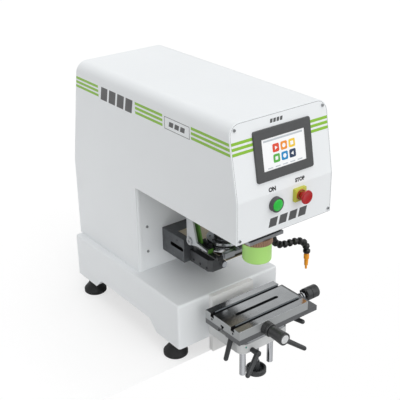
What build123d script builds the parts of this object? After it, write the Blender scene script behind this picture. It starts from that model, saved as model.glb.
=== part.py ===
from build123d import *
import math
import os

os.makedirs("parts", exist_ok=True)

# Bench pad printing machine, millimetres.
# X runs across the machine, the operator stands at -Y, Z is up.
# Origin: centre plane, outer face of the lower front panel, bench level.

# Feet and base housing
foot_height = 40.0  # bench to the underside of the base skirt
foot_pad_d = 56.0
foot_pad_rise = 32.0
foot_rim = 9.0  # upright edge of the rubber disc
foot_edge = 2.0
foot_taper = 4.0  # how much wider the cone is at its foot
foot_neck_d = 26.0
foot_stud_d = 10.0
foot_stud_low = 10.0  # lower end of the stud inside the rubber
foot_stud_show = 4.0  # stud left above the upper nut
foot_nut_af = 17.0
foot_nut_h = 8.0
foot_inset_x = 21.0  # foot centre in from the side of the base
foot_inset_y = 44.0  # foot centre in from the end of the base
base_width = 286.0
base_front = 174.0
base_back = 613.0
base_height = 111.0
base_wall = 3.0
base_bend = 6.0
base_top_bend = 5.0
skirt_arch = 25.5  # height of the arch cut in each side
skirt_lug = 88.0  # length of the skirt left down at each end
skirt_slope = 27.0
flange_reach = 44.0  # inward flange that carries the foot

# Column and hood covers
cover_width = 250.0
cover_wall = 2.0
cover_round = 26.0  # rounded long edges of the top
cut_past = 1.0  # how far a cut runs out past the face it opens
hood_drop = 86.5  # vertical lower part of the front
hood_rise = 150.5  # leaning upper part of the front
hood_lean = 26.7  # how far the front leans back
column_height = 214.5  # base top to the hood's underside
column_front = 349.0
column_bend = 8.0
rear_face = 617.0
rear_upright = 200.5  # base top to the bend in the back
rear_lean = 45.7
panel_wall = 3.0
panel_gap = 0.3
screw_head_d = 6.5
screw_head_h = 2.5
screw_shank_d = 3.5
screw_reach = 3.0  # shank showing behind the lip
screw_hole_play = 0.2
lip_reach = 35.0  # how far the lips behind the panels come in from the sides
column_border = 12.0  # main cover left beside the opening that the column cover closes
front_screw_up = 140.0  # measured up the leaning face from the bend
front_screw_low = 373.5
front_screw_inset = 13.0  # upper front screws, in from the side of the covers
low_screw_inset = 7.5  # lower front screws, in from the side of the covers
column_screw_inset = 25.5
column_screw_levels = [199.0, 262.0, 348.0]
rear_screw_inset = 13.0
rear_screw_levels = [165.0, 250.0, 335.0]
vent_level = 300.0
vent_length = 60.0
vent_slot = 4.0
vent_pitch = 10.0
vent_rows = 4
vent_column_gap = 36.0  # between the two columns of slots
inlet_x = 60.0
inlet_level = 195.0
inlet_width = 48.0
inlet_height = 27.0
inlet_depth = 30.0
inlet_flange = 4.0  # flange showing round the inlet
inlet_flange_wall = 2.0
inlet_corner = 3.0
inlet_socket_width = 27.0
inlet_socket_height = 19.0
inlet_socket_depth = 15.0
air_port_d = 14.0

# Frame inside the covers
frame_width = 160.0
frame_front = 392.0
frame_depth = 150.0
frame_wall = 6.0
frame_top = 520.0
frame_gusset = 20.0  # corner between the mast and the beam
beam_wall = 12.0
hose_plate_wall = 6.0
beam_front = 24.0
beam_low = 425.0
beam_high = 500.0
rod_block_depth = 12.0
rod_d = 16.0
rod_inset = 20.0  # rod centre in from the inner face of a side plate
rod_level = 460.0
running_gap = 0.06

# Pad carriage, ram and pad
pad_y = 83.5
carriage_front = 46.0
carriage_back = 262.0
carriage_side_gap = 5.0  # carriage side to a side plate
carriage_height = 40.0
carriage_corner = 5.0
carriage_travel = 90.0
ram_travel = 75.0
cylinder_d = 62.0
cylinder_bore = 50.0
cylinder_height = 150.0
cylinder_cap = 10.0
piston_height = 12.0
piston_clearance = 2.0
ram_rod_d = 20.0
ram_guide_d = 10.0
ram_guide_spacing = 76.0
guide_rod_show = 5.0  # guide rod left above the carriage with the ram down
pad_d = 62.0
pad_bottom = 260.0
pad_height = 43.0
pad_edge = 7.0
pad_crown = 1.5
wood_d = 66.0
wood_height = 13.0
holder_width = 92.0
holder_depth = 61.0
holder_height = 8.0
ram_plate_width = 86.0
ram_plate_depth = 50.0
ram_plate_height = 6.0
ram_plate_corner = 3.0
edge_break = 0.6  # small bevel on machined plates
shuttle_d = 30.0
shuttle_inset = 28.0  # cylinder axis in from the inner face of the left side plate
shuttle_level = 500.0
shuttle_lug_wall = 10.0
shuttle_length = 130.0
shuttle_rod_d = 12.0
shuttle_rod_show = 10.0  # rod left in sight with the carriage at the back
shuttle_rod_seat = 20.0  # rod inside the cylinder with the carriage at the front

# Ink unit
plate_top = 247.0  # working surface of the printing plate
plate_width = 80.0
plate_front = 136.0
plate_back = 310.0
plate_wall = 2.0
holder_block_width = 114.6
holder_block_front = 265.6
holder_block_low = 189.5
support_width = 83.4
support_front = 191.0
support_low = 190.6
support_high = 219.0
support_nose_right = 3.3  # right side of the narrow front part of the block
support_step = 225.0  # where the block widens to its full width
support_corner = 8.0  # bevel of the front left corner
support_hole_places = [(250.5, 198.6), (227.0, 198.6), (203.0, 198.6)]
support_hole_d = 5.5
support_hole_depth = 3.0
post_inset = 10.0
tray_wall = 6.0
tray_side = 1.5
tray_front = 191.0  # the thin plate reaches forward past its tray
support_post_d = 10.0
block_slot_y = 293.5
block_slot_level = 220.0
block_slot_length = 49.0
block_slot_width = 9.5
block_slot_depth = 8.0
block_hole_y = 292.0  # small blind hole above the slot
block_hole_level = 236.5
block_hole_d = 3.5
block_hole_depth = 4.0
knob_level = 206.0
plate_knob_x = -9.0
plate_knob_d = 14.0
plate_knob_length = 11.0
plate_knob_grips = 18
plate_knob_groove_d = 1.6
knob_stud_d = 6.0
knob_stud_reach = 8.0
cup_y = 190.0
cup_seal_d = 76.0  # edge that runs on the plate
cup_seal_rise = 4.0
cup_ring_d = 86.0
cup_ring_rise = 12.0  # top of the ring above the plate
cup_waist_d = 78.0
cup_waist_rise = 18.0
cup_flange_d = 82.0
cup_flange_rise = 24.0
cup_body_d = 50.0
cup_body_rise = 32.0
cup_dome_d = 18.0
cup_rise = 36.0
cup_hole_circle = 66.0
cup_hole_d = 5.0
cup_hole_depth = 3.0
cup_holes = 10
yoke_low = 249.5
yoke_bar_high = 261.5
yoke_bar_front = 174.0
yoke_bar_back = 246.0
yoke_bar_width = 13.75
yoke_lug_front = 180.0  # lugs that hold the cup between the bars
yoke_lug_back = 212.0
yoke_lug_x = 38.0
yoke_lug_high = 268.0
yoke_strip_high = 252.0
cross_bar_front = 140.0
cross_bar_wall = 6.0
cross_bar_high = 257.0
cross_lug_x = [17.0, 44.0]
cross_lug_front = 136.0
cross_lug_high = 262.0
drive_bar_x = 50.0
drive_bar_wall = 4.0
drive_bar_low = [206.0, 227.0]  # front and back where the bar stands on the yoke
drive_bar_high = [231.3, 245.4]
drive_bar_bend = 350.0
seat_gap = 0.3
arm_wall = 4.5
arm_inset = 13.0  # arm plate in from the side of the carriage
arm_upper = [222.0, 244.0]  # front and back of the upright limb
arm_taper = 311.0  # level where the upright limb starts to widen
arm_corner = (209.0, 266.6)
arm_nose = 173.0
arm_nose_levels = [258.0, 262.0]
pivot_y = 234.0
pivot_level = 261.0
pivot_boss_d = 19.0
pivot_boss_rise = 6.0
pivot_hole_d = 6.0
pivot_hole_depth = 4.0

# Work table and its lift
mount_width = 118.0
mount_wall = 12.0
mount_low = 6.0
mount_high = 150.0
mount_corner = 2.0
bracket_width = 138.0
bracket_front = 50.0
bracket_low = 60.0
bracket_wall = 23.0
bracket_round = 18.0
clamp_up = 5.0  # clamp stud above the bracket's underside
table_y = 80.25
column_d = 14.0
column_spacing = 80.0
column_foot = -18.0
column_bevel = 1.0
spindle_d = 11.0
wheel_d = 46.0
wheel_low = -29.0
wheel_rim = 14.0
wheel_rim_wall = 5.0
wheel_floor = 5.0
wheel_edge = 2.0
wheel_root_d = 20.0  # hub where it meets the floor
wheel_hub = 30.0
wheel_hub_d = 15.0
spindle_reach = 17.0  # length of the spindle's end inside the block
block_width = 104.0
block_depth = 60.0
block_low = 84.0
block_cover = 4.0  # metal left over the column ends
lock_level = 98.0
rail_width = 26.0
rail_height = 8.4
rail_end_gap = 4.0  # room past the rail's end at full cross travel
saddle_low = 112.5
saddle_wall = 12.0
saddle_left = -97.0
saddle_right = 125.0
table_width = 194.0
table_front = 23.5
table_back = 137.0
table_wall = 20.5
table_edge = 0.5
slide_gap = 0.1
tslot_offset = 34.0
tslot_neck = 7.0
tslot_neck_depth = 4.0
tslot_head = 12.0
tslot_head_depth = 5.0
centre_slot_length = 119.0
centre_slot_width = 5.0
centre_slot_depth = 6.0
end_slot_neck = 6.0
end_slot_head = 11.0
end_slot_height = 9.0
end_slot_depth = 12.0
gib_offset = 35.0
gib_level = 131.5
gib_d = 5.0
guide_x = 22.0
guide_width = 56.0
guide_height = 5.0
guide_inset = 36.5  # guide's front edge behind the table's front edge
lead_screw_d = 6.0
x_screw_show = 8.0  # screw left past the block on the far side
screw_seat = 19.0  # screw inside its knob
y_screw_tip_gap = 1.0
x_screw_level = 116.5
y_screw_x = -24.5
y_screw_level = 129.5
y_screw_length = 96.0
y_nut_width = 16.0
y_nut_length = 20.0
y_nut_height = 9.5
bearing_d = 18.0
bearing_length = 14.0
knob_grip = 38.0
knob_groove = 1.5
knob_groove_depth = 1.0
knob_groove_at = 23.6  # groove from the inner end of the cross knob
knob_bevel = 1.0
grip_bevel = 1.5
dial_length = 12.0
y_grip = 53.2
dial_d = 30.0
knob_d = 26.0
knob_cap_d = 20.0
knob_cap_recess = 1.2
x_travel = 25.0
y_travel = 20.0
lever_hub_d = 14.0
lever_hub_length = 26.0
lever_waist = 13.0  # hub's narrow part, from the seat
lever_shoulder = 15.6
lever_arm_from = 18.7
lever_hub_inset = 1.5
lever_waist_inset = 1.0
lever_end_bevel = 3.0
lever_arm_length = 54.0
lever_stud_d = 8.0
lever_stud_reach = 3.5
lever_rise = 20.0  # degrees that the arm leans out from its seat
lever_root_d = 12.0
lever_tip_d = 10.5

# Controls on the front panel
screen_width = 146.0
screen_height = 101.0
screen_wall = 4.0
screen_corner = 5.0
screen_bevel = 1.0
screen_glass_gap = 0.1
screen_border = 6.0  # bezel overlap on the panel
screen_shift = 1.0
screen_up = 77.0  # centre, measured up the leaning face from the bend
screen_view_width = 109.5
screen_view_height = 62.5
screen_back_depth = 14.0
screen_recess = 1.0
screen_glass = 1.5
button_x = -29.0
button_level = 427.0
button_ring_d = 32.0
button_ring_rise = 11.0
button_cap_d = 28.0
button_travel = 4.0
button_cap_height = 3.5
button_stem_d = 12.0
button_edge = 0.7
button_round = 1.0
stop_x = 33.0
stop_level = 431.0
stop_plate = 36.0
stop_plate_rise = 9.0
stop_plate_corner = 2.0
stop_head_d = 36.0
stop_head_rise = 18.0
stop_head_round = 6.0
stop_flare = 7.0  # from the neck out to the head
stop_flare_bevel = 2.0
stop_clearance = 1.0  # left under the head when pressed
stop_stem_d = 12.0
stop_pin_d = 8.0
stop_pin_length = 10.0
stop_neck_d = 22.0
stop_travel = 4.0
switch_body_d = 22.0
switch_body_depth = 28.0

# Air hose of ball and socket links
hose_x = 68.0
hose_y = 111.0
hose_d = 16.5
hose_ball_d = 9.4
hose_bore = 5.0
hose_pitch = 12.6
hose_flare = 3.8  # from a ball's centre out to the full diameter
hose_body = 7.8
hose_mouth_wall_cut = 1.4
socket_lip = 2.2  # how far a socket's mouth stays short of the next ball's centre
hose_tilts = [0] * 7 + [18, 45, 72] + [92] * 3  # each link's tilt from straight down
hose_drop_tilts = [72, 45, 18, 0]
hose_turn = -13.8  # heading of the upper run, degrees from +X
nozzle_length = 38.0
nozzle_d = 12.5
nozzle_tip_d = 5.0
nozzle_bore = 2.4
nozzle_shoulder = 12.0
nozzle_flare = 2.0
nozzle_ball_cut = 3.8  # flat end of the ball, from its centre
nozzle_shoulder_inset = 1.5
nozzle_tip_step = 1.8
nozzle_tip = 9.0

# Inside the column
control_low = 170.0
control_height = 160.0
control_width = 120.0
control_depth = 80.0
control_corner = 3.0
valve_low = 370.0
valve_height = 40.0
valve_width = 100.0
valve_depth = 40.0
air_flange = 6.0
air_stub = 14.0
air_tail = 30.0  # fitting inside the rear cover
air_bore_length = 35.0
air_hex_af = 19.0
air_bore_d = 8.0

# Levels and places worked out from the sizes above
base_bottom = foot_height
base_top = base_bottom + base_height
base_depth = base_back - base_front
base_mid_y = (base_front + base_back) / 2
hood_bottom = base_top + column_height
hood_bend = hood_bottom + hood_drop
hood_top = hood_bend + hood_rise
rear_bend = base_top + rear_upright
lean_angle = math.degrees(math.atan2(hood_lean, hood_rise))
foot_x = base_width / 2 - foot_inset_x
foot_places = [
    (sx * foot_x, y)
    for sx in (-1, 1)
    for y in (base_front + foot_inset_y, base_back - foot_inset_y)
]
holder_low = pad_bottom + pad_height + wood_height
ram_plate_low = holder_low + holder_height
ram_plate_high = ram_plate_low + ram_plate_height
carriage_low = rod_level - carriage_height / 2
carriage_high = rod_level + carriage_height / 2
saddle_top = saddle_low + saddle_wall
table_top_level = saddle_top + table_wall
mount_front = base_front - mount_wall
tray_low = plate_top - plate_wall - tray_wall
rod_spacing = frame_width - 2 * rod_inset
carriage_width = frame_width - 2 * carriage_side_gap
shuttle_x = shuttle_inset - frame_width / 2
arm_x = carriage_width / 2 - arm_inset
column_window = cover_width / 2 - column_border
column_screw_x = cover_width / 2 - column_screw_inset
rear_screw_x = cover_width / 2 - rear_screw_inset
lean_plane = Plane(
    origin=(0, 0, hood_bend),
    x_dir=(1, 0, 0),
    z_dir=(0, -math.cos(math.radians(lean_angle)), math.sin(math.radians(lean_angle))),
)


def save(piece, name):
    """Label one finished sub-part and write its STEP file."""
    piece.label = name
    export_step(piece, "parts/" + name + ".step")


# Base housing: a folded box, open below, with arched skirts and foot flanges
with BuildPart() as base_housing:
    with BuildSketch(Plane.XY.offset(base_bottom)):
        with Locations((0, base_mid_y)):
            Rectangle(base_width, base_depth)
    extrude(amount=base_height)
    fillet(base_housing.edges().filter_by(Axis.Z), base_bend)
    fillet(base_housing.faces().sort_by(Axis.Z)[-1].edges(), base_top_bend)
    with BuildSketch(Plane.XY.offset(base_bottom)):
        with Locations((0, base_mid_y)):
            RectangleRounded(
                base_width - 2 * base_wall,
                base_depth - 2 * base_wall,
                base_bend - base_wall,
            )
    extrude(amount=base_height - base_wall, mode=Mode.SUBTRACT)
    with BuildSketch(Plane.YZ):
        with BuildLine():
            Polyline(
                (base_front + skirt_lug, base_bottom),
                (base_front + skirt_lug + skirt_slope, base_bottom + skirt_arch),
                (base_back - skirt_lug - skirt_slope, base_bottom + skirt_arch),
                (base_back - skirt_lug, base_bottom),
                close=True,
            )
        make_face()
    extrude(amount=base_width, both=True, mode=Mode.SUBTRACT)
    with BuildSketch(Plane.XY.offset(base_bottom)):
        for x, y in foot_places:
            inward = base_width / 2 - base_wall / 2 - flange_reach / 2
            with Locations((math.copysign(inward, x), y)):
                Rectangle(flange_reach, skirt_lug - 2 * base_wall)
        with Locations(*foot_places):
            Circle(foot_stud_d / 2 + screw_hole_play, mode=Mode.SUBTRACT)
    extrude(amount=base_wall)
save(base_housing.part, "base_housing")

# Bottom plate inside the base, above the arches
with BuildPart() as base_bottom_plate:
    with BuildSketch(Plane.XY.offset(base_bottom + skirt_arch)):
        with Locations((0, base_mid_y)):
            RectangleRounded(
                base_width - 2 * base_wall - 2 * panel_gap,
                base_depth - 2 * base_wall - 2 * panel_gap,
                base_bend - base_wall,
            )
    extrude(amount=base_wall)
save(base_bottom_plate.part, "base_bottom_plate")

# Four rubber feet: a flat disc that runs up in a cone to the stud
with BuildPart() as rubber_feet:
    with BuildSketch(Plane.XZ):
        with BuildLine():
            Polyline(
                (foot_stud_d / 2 + running_gap, foot_stud_low),
                (0, foot_stud_low),
                (0, 0),
                (foot_pad_d / 2 - foot_edge, 0),
                (foot_pad_d / 2, foot_edge),
                (foot_pad_d / 2, foot_rim),
                (foot_neck_d / 2 + foot_taper, foot_pad_rise - foot_rim),
                (foot_neck_d / 2, foot_pad_rise),
                (foot_stud_d / 2 + running_gap, foot_pad_rise),
                close=True,
            )
        make_face()
    foot_form = revolve(axis=Axis.Z, mode=Mode.PRIVATE)
    for x, y in foot_places:
        add(foot_form.moved(Location((x, y, 0))))
save(rubber_feet.part, "rubber_feet")

# Foot studs, each with a nut below and a nut above the flange
with BuildPart() as foot_studs:
    with Locations(*[(x, y, foot_stud_low) for x, y in foot_places]):
        Cylinder(
            foot_stud_d / 2,
            base_bottom + base_wall + foot_nut_h + foot_stud_show - foot_stud_low,
            align=(Align.CENTER, Align.CENTER, Align.MIN),
        )
    for level in (base_bottom - foot_nut_h, base_bottom + base_wall):
        with BuildSketch(Plane.XY.offset(level)):
            with Locations(*foot_places):
                RegularPolygon(foot_nut_af / 2, 6, major_radius=False)
        extrude(amount=foot_nut_h)
save(foot_studs.part, "foot_studs")


def cover_space(inset):
    """The room inside the covers, run out past their open sides."""
    past = cover_width
    with BuildPart() as space:
        with BuildSketch(Plane.YZ):
            with BuildLine():
                Polyline(
                    (column_front + inset, -past),
                    (rear_face + past, -past),
                    (rear_face + past, hood_top - inset),
                    (-past, hood_top - inset),
                    (-past, hood_bottom),
                    (column_front + inset, hood_bottom),
                    close=True,
                )
            make_face()
        extrude(amount=cover_width / 2 - inset, both=True)
        top = space.faces().sort_by(Axis.Z)[-1]
        fillet(top.edges().filter_by(Axis.Y), cover_round - inset)
        front_edges = space.edges().filter_by(Axis.Z).filter_by(
            lambda edge: abs(edge.center().Y - column_front - inset) < 0.01
        )
        fillet(front_edges, column_bend - inset)
    return space.part


def bent_sheet(line, depth, wall, inset):
    """A sheet with one bend, set inward from its outer line by depth, trimmed to the covers."""
    low, bend, high = line
    limit = cover_space(inset)
    inward = 1 if low[0] < rear_face / 2 else -1
    turn = math.atan2(abs(high[0] - bend[0]), high[1] - bend[1])
    lower, upper = [], []
    for back in (depth, depth + wall):
        lower.append((low[0] + inward * back, low[1]))
        middle = (bend[0] + inward * back, bend[1] - back * math.tan(turn / 2))
        slant = back / math.cos(turn)
        upper.append((middle, (high[0] + inward * slant, high[1])))
    with BuildPart() as sheet:
        with BuildSketch(Plane.YZ):
            with BuildLine():
                Polyline(
                    lower[0], upper[0][0], upper[0][1],
                    upper[1][1], upper[1][0], lower[1],
                    close=True,
                )
            make_face()
        extrude(amount=cover_width / 2, both=True)
        add(limit, mode=Mode.INTERSECT)
    return sheet.part


front_line = [(0, hood_bottom), (0, hood_bend), (hood_lean, hood_top)]
rear_line = [
    (rear_face, base_top + panel_gap),
    (rear_face, rear_bend),
    (rear_face - rear_lean, hood_top),
]


def side_lips(line):
    """The two strips behind a bent panel that its screws go into."""
    strip = bent_sheet(line, panel_wall, cover_wall, cover_wall / 2)
    return strip - Box(cover_width - 2 * lip_reach, 3 * rear_face, 3 * hood_top)


def on_lean(x, up):
    """A place on the leaning front face, facing outward; up is measured from the bend."""
    return lean_plane.location * Location((x, up, 0))


front_screw_places = [
    on_lean(side * (cover_width / 2 - front_screw_inset), front_screw_up) for side in (-1, 1)
] + [
    Location((side * (cover_width / 2 - low_screw_inset), 0, front_screw_low), (90, 0, 0))
    for side in (-1, 1)
]
column_screw_places = [
    Location((side * column_screw_x, column_front, z), (90, 0, 0))
    for side in (-1, 1)
    for z in column_screw_levels
]
rear_screw_places = [
    Location((side * rear_screw_x, rear_face, z), (-90, 0, 0))
    for side in (-1, 1)
    for z in rear_screw_levels
]

# Main cover: one wrap of sheet over both sides and the top, with lips for the panels
inner_space = cover_space(cover_wall)
front_lips = side_lips(front_line)
rear_lips = side_lips(rear_line)
with BuildPart() as main_cover:
    with BuildSketch(Plane.YZ):
        with BuildLine():
            Polyline(
                (column_front, base_top),
                (rear_face, base_top),
                (rear_face, rear_bend),
                (rear_face - rear_lean, hood_top),
                (hood_lean, hood_top),
                (0, hood_bend),
                (0, hood_bottom),
                (column_front, hood_bottom),
                close=True,
            )
        make_face()
    extrude(amount=cover_width / 2, both=True)
    top_face = main_cover.faces().sort_by(Axis.Z)[-1]
    fillet(top_face.edges().filter_by(Axis.Y), cover_round)
    column_face = main_cover.faces().filter_by(Axis.Y).filter_by(
        lambda face: abs(face.center().Y - column_front) < 1
    )[0]
    fillet(column_face.edges().filter_by(Axis.Z), column_bend)
    add(inner_space, mode=Mode.SUBTRACT)
    with BuildSketch(Plane.XZ.offset(-column_front)):
        with Locations((0, (base_top + hood_bottom) / 2)):
            Rectangle(2 * column_window, column_height)
    extrude(amount=cover_wall + cut_past, both=True, mode=Mode.SUBTRACT)
    add(front_lips)
    add(rear_lips)
    for side in (-1, 1):
        lip_x = (cover_width / 2 - cover_wall / 2 + column_window - lip_reach) / 2
        lip_wide = cover_width / 2 - cover_wall / 2 - column_window + lip_reach
        with BuildSketch(Plane.XY.offset(base_top)):
            with Locations((side * lip_x, column_front + 1.5 * cover_wall)):
                Rectangle(lip_wide, cover_wall)
        extrude(amount=column_height)
    with Locations(*front_screw_places, *column_screw_places, *rear_screw_places):
        Cylinder(screw_shank_d / 2 + screw_hole_play, 4 * panel_wall, mode=Mode.SUBTRACT)
save(main_cover.part, "main_cover")

# Front panel: upright below, leaning back above, set inside the wrap
front_sheet = bent_sheet(front_line, 0, panel_wall, cover_wall + panel_gap)
with BuildPart() as front_panel:
    add(front_sheet)
    with Locations(*front_screw_places):
        Cylinder(screw_shank_d / 2 + screw_hole_play, 4 * panel_wall, mode=Mode.SUBTRACT)
    with Locations(on_lean(screen_shift, screen_up)):
        Box(
            screen_width - 2 * screen_border,
            screen_height - 2 * screen_border,
            4 * panel_wall,
            mode=Mode.SUBTRACT,
        )
    with Locations(
        Location((button_x, 0, button_level), (90, 0, 0)),
        Location((stop_x, 0, stop_level), (90, 0, 0)),
    ):
        Cylinder(switch_body_d / 2 + screw_hole_play, 4 * panel_wall, mode=Mode.SUBTRACT)
save(front_panel.part, "front_panel")

# Rear cover, with vent slots above the inlets
rear_sheet = bent_sheet(rear_line, 0, panel_wall, cover_wall + panel_gap)
with BuildPart() as rear_cover:
    add(rear_sheet)
    with Locations(*rear_screw_places):
        Cylinder(screw_shank_d / 2 + screw_hole_play, 4 * panel_wall, mode=Mode.SUBTRACT)
    with BuildSketch(Plane.XZ.offset(-rear_face)):
        with Locations((0, vent_level)):
            with GridLocations(vent_length + vent_column_gap, vent_pitch, 2, vent_rows):
                SlotOverall(vent_length, vent_slot)
        with Locations((inlet_x, inlet_level)):
            Rectangle(inlet_width + 2 * panel_gap, inlet_height + 2 * panel_gap)
        with Locations((-inlet_x, inlet_level)):
            Circle(air_port_d / 2 + panel_gap)
    extrude(amount=2 * panel_wall, both=True, mode=Mode.SUBTRACT)
save(rear_cover.part, "rear_cover")

# Column front cover, cut out round the plate holder block
with BuildPart() as column_cover:
    with BuildSketch(Plane.XZ.offset(-column_front - cover_wall)):
        with Locations((0, (base_top + hood_bottom) / 2)):
            Rectangle(2 * column_window - 2 * panel_gap, column_height - 2 * panel_gap)
        with Locations((0, (holder_block_low + plate_top) / 2)):
            Rectangle(
                holder_block_width + 2 * panel_gap,
                plate_top - holder_block_low + 2 * panel_gap,
                mode=Mode.SUBTRACT,
            )
    extrude(amount=cover_wall)
    with Locations(*column_screw_places):
        Cylinder(screw_shank_d / 2 + screw_hole_play, 4 * panel_wall, mode=Mode.SUBTRACT)
save(column_cover.part, "column_cover")

# Cover screws: button heads on every panel
with BuildPart() as cover_screws:
    with Locations(*front_screw_places, *column_screw_places, *rear_screw_places):
        Cylinder(
            screw_head_d / 2, screw_head_h,
            align=(Align.CENTER, Align.CENTER, Align.MIN),
        )
        Cylinder(
            screw_shank_d / 2, panel_wall + cover_wall + screw_reach,
            align=(Align.CENTER, Align.CENTER, Align.MAX),
        )
save(cover_screws.part, "cover_screws")

# Frame: two side plates, a mast plate and a tie plate that carry the carriage rods
frame_inner = frame_width / 2
with BuildPart() as frame_side_plates:
    for side in (-1, 1):
        with BuildSketch(Plane.YZ.offset(side * (frame_inner + frame_wall / 2))):
            with BuildLine():
                Polyline(
                    (frame_front, base_top),
                    (frame_front + frame_depth, base_top),
                    (frame_front + frame_depth, frame_top),
                    (frame_front, frame_top),
                    (frame_front - frame_gusset, beam_high),
                    (beam_front, beam_high),
                    (beam_front, beam_low),
                    (frame_front, beam_low),
                    close=True,
                )
            make_face()
        extrude(amount=frame_wall / 2, both=True)
    with BuildSketch(Plane.XY.offset(beam_low)):
        with Locations(((hose_x - hose_d / 2 + frame_inner + frame_wall) / 2, hose_y)):
            Rectangle(frame_inner + frame_wall - hose_x + hose_d / 2, 2 * hose_d)
    extrude(amount=-hose_plate_wall)
    with BuildSketch(Plane.XY.offset(hood_bottom + socket_lip)):
        with Locations((hose_x, hose_y)):
            Circle(hose_d / 2)
    extrude(amount=beam_low - hose_plate_wall - hood_bottom - socket_lip)
    with Locations((hose_x, hose_y, hood_bottom)):
        Sphere(hose_ball_d / 2 + panel_gap, mode=Mode.SUBTRACT)
save(frame_side_plates.part, "frame_side_plates")

rod_places = [(side * rod_spacing / 2, rod_level) for side in (-1, 1)]
with BuildPart() as mast_plate:
    with BuildSketch(Plane.XZ.offset(-frame_front - beam_wall)):
        with Locations((0, (base_top + frame_top) / 2)):
            Rectangle(frame_width, frame_top - base_top)
        with Locations(*rod_places):
            Circle(rod_d / 2 + running_gap, mode=Mode.SUBTRACT)
    extrude(amount=beam_wall)
save(mast_plate.part, "mast_plate")

tie_low = rod_level - rod_d
with BuildPart() as front_tie_plate:
    with BuildSketch(Plane.XZ.offset(-beam_front - rod_block_depth)):
        with Locations((0, (tie_low + beam_high) / 2)):
            Rectangle(frame_width, beam_high - tie_low)
        with Locations(*rod_places):
            Circle(rod_d / 2 + running_gap, mode=Mode.SUBTRACT)
    extrude(amount=rod_block_depth)
save(front_tie_plate.part, "front_tie_plate")

with BuildPart() as carriage_rods:
    with BuildSketch(Plane.XZ.offset(-frame_front - beam_wall)):
        with Locations(*rod_places):
            Circle(rod_d / 2)
    extrude(amount=frame_front + beam_wall - beam_front)
save(carriage_rods.part, "carriage_rods")

# Pad carriage, bored for its rods, the cylinder and the ram's guide rods
guide_rod_places = [(side * ram_guide_spacing / 2, pad_y) for side in (-1, 1)]
with BuildPart() as carriage:
    with BuildSketch(Plane.XY.offset(carriage_low)):
        with Locations((0, (carriage_front + carriage_back) / 2)):
            RectangleRounded(carriage_width, carriage_back - carriage_front, carriage_corner)
        with Locations((0, pad_y)):
            Circle(cylinder_d / 2 + running_gap, mode=Mode.SUBTRACT)
        with Locations(*guide_rod_places):
            Circle(ram_guide_d / 2 + running_gap, mode=Mode.SUBTRACT)
    extrude(amount=carriage_height)
    with BuildSketch(Plane.XZ.offset(-carriage_front)):
        with Locations(*rod_places):
            Circle(rod_d / 2 + running_gap)
    extrude(amount=carriage_front - carriage_back, mode=Mode.SUBTRACT)
save(carriage.part, "carriage")

# Ram cylinder with its piston and rods
cylinder_low = ram_plate_low + ram_plate_height + 2 * cylinder_cap
piston_low = cylinder_low + cylinder_height - cylinder_cap - piston_height - piston_clearance
with BuildPart() as ram_cylinder:
    with BuildSketch(Plane.XY.offset(cylinder_low)):
        with Locations((0, pad_y)):
            Circle(cylinder_d / 2)
            Circle(ram_rod_d / 2 + running_gap, mode=Mode.SUBTRACT)
    extrude(amount=cylinder_height)
    with BuildSketch(Plane.XY.offset(cylinder_low + cylinder_cap)):
        with Locations((0, pad_y)):
            Circle(cylinder_bore / 2)
    extrude(amount=cylinder_height - 2 * cylinder_cap, mode=Mode.SUBTRACT)
save(ram_cylinder.part, "ram_cylinder")

with BuildPart() as ram_rods:
    with BuildSketch(Plane.XY.offset(ram_plate_high)):
        with Locations((0, pad_y)):
            Circle(ram_rod_d / 2)
    extrude(amount=piston_low - ram_plate_high)
    with BuildSketch(Plane.XY.offset(piston_low)):
        with Locations((0, pad_y)):
            Circle(cylinder_bore / 2 - running_gap)
    extrude(amount=piston_height)
    with BuildSketch(Plane.XY.offset(ram_plate_high)):
        with Locations(*guide_rod_places):
            Circle(ram_guide_d / 2)
    extrude(amount=carriage_high + ram_travel + guide_rod_show - ram_plate_high)
save(ram_rods.part, "ram_rods")

# Pad and what holds it, from the ram plate down
with BuildPart() as ram_plate:
    with BuildSketch(Plane.XY.offset(ram_plate_low)):
        with Locations((0, pad_y)):
            RectangleRounded(ram_plate_width, ram_plate_depth, ram_plate_corner)
    extrude(amount=ram_plate_height)
save(ram_plate.part, "ram_plate")

with BuildPart() as pad_holder:
    with BuildSketch(Plane.XY.offset(holder_low)):
        with Locations((0, pad_y)):
            Rectangle(holder_width, holder_depth)
    extrude(amount=holder_height)
    chamfer(pad_holder.edges(), edge_break)
save(pad_holder.part, "pad_holder")

with BuildPart() as pad_base:
    with BuildSketch(Plane.XY.offset(pad_bottom + pad_height)):
        with Locations((0, pad_y)):
            Circle(wood_d / 2)
    extrude(amount=wood_height)
save(pad_base.part, "pad_base")

with BuildPart() as printing_pad:
    with BuildSketch(Plane.XZ.offset(-pad_y)):
        with BuildLine():
            crown = RadiusArc(
                (0, pad_bottom),
                (pad_d / 2 - pad_edge, pad_bottom + pad_crown),
                -(pad_d**2) / pad_crown / 8,
            )
            corner = RadiusArc(
                crown @ 1,
                (pad_d / 2, pad_bottom + pad_crown + pad_edge),
                -pad_edge,
            )
            Polyline(
                corner @ 1,
                (pad_d / 2, pad_bottom + pad_height),
                (0, pad_bottom + pad_height),
                (0, pad_bottom),
            )
        make_face()
    revolve(axis=Axis((0, pad_y, 0), (0, 0, 1)))
save(printing_pad.part, "printing_pad")

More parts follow.
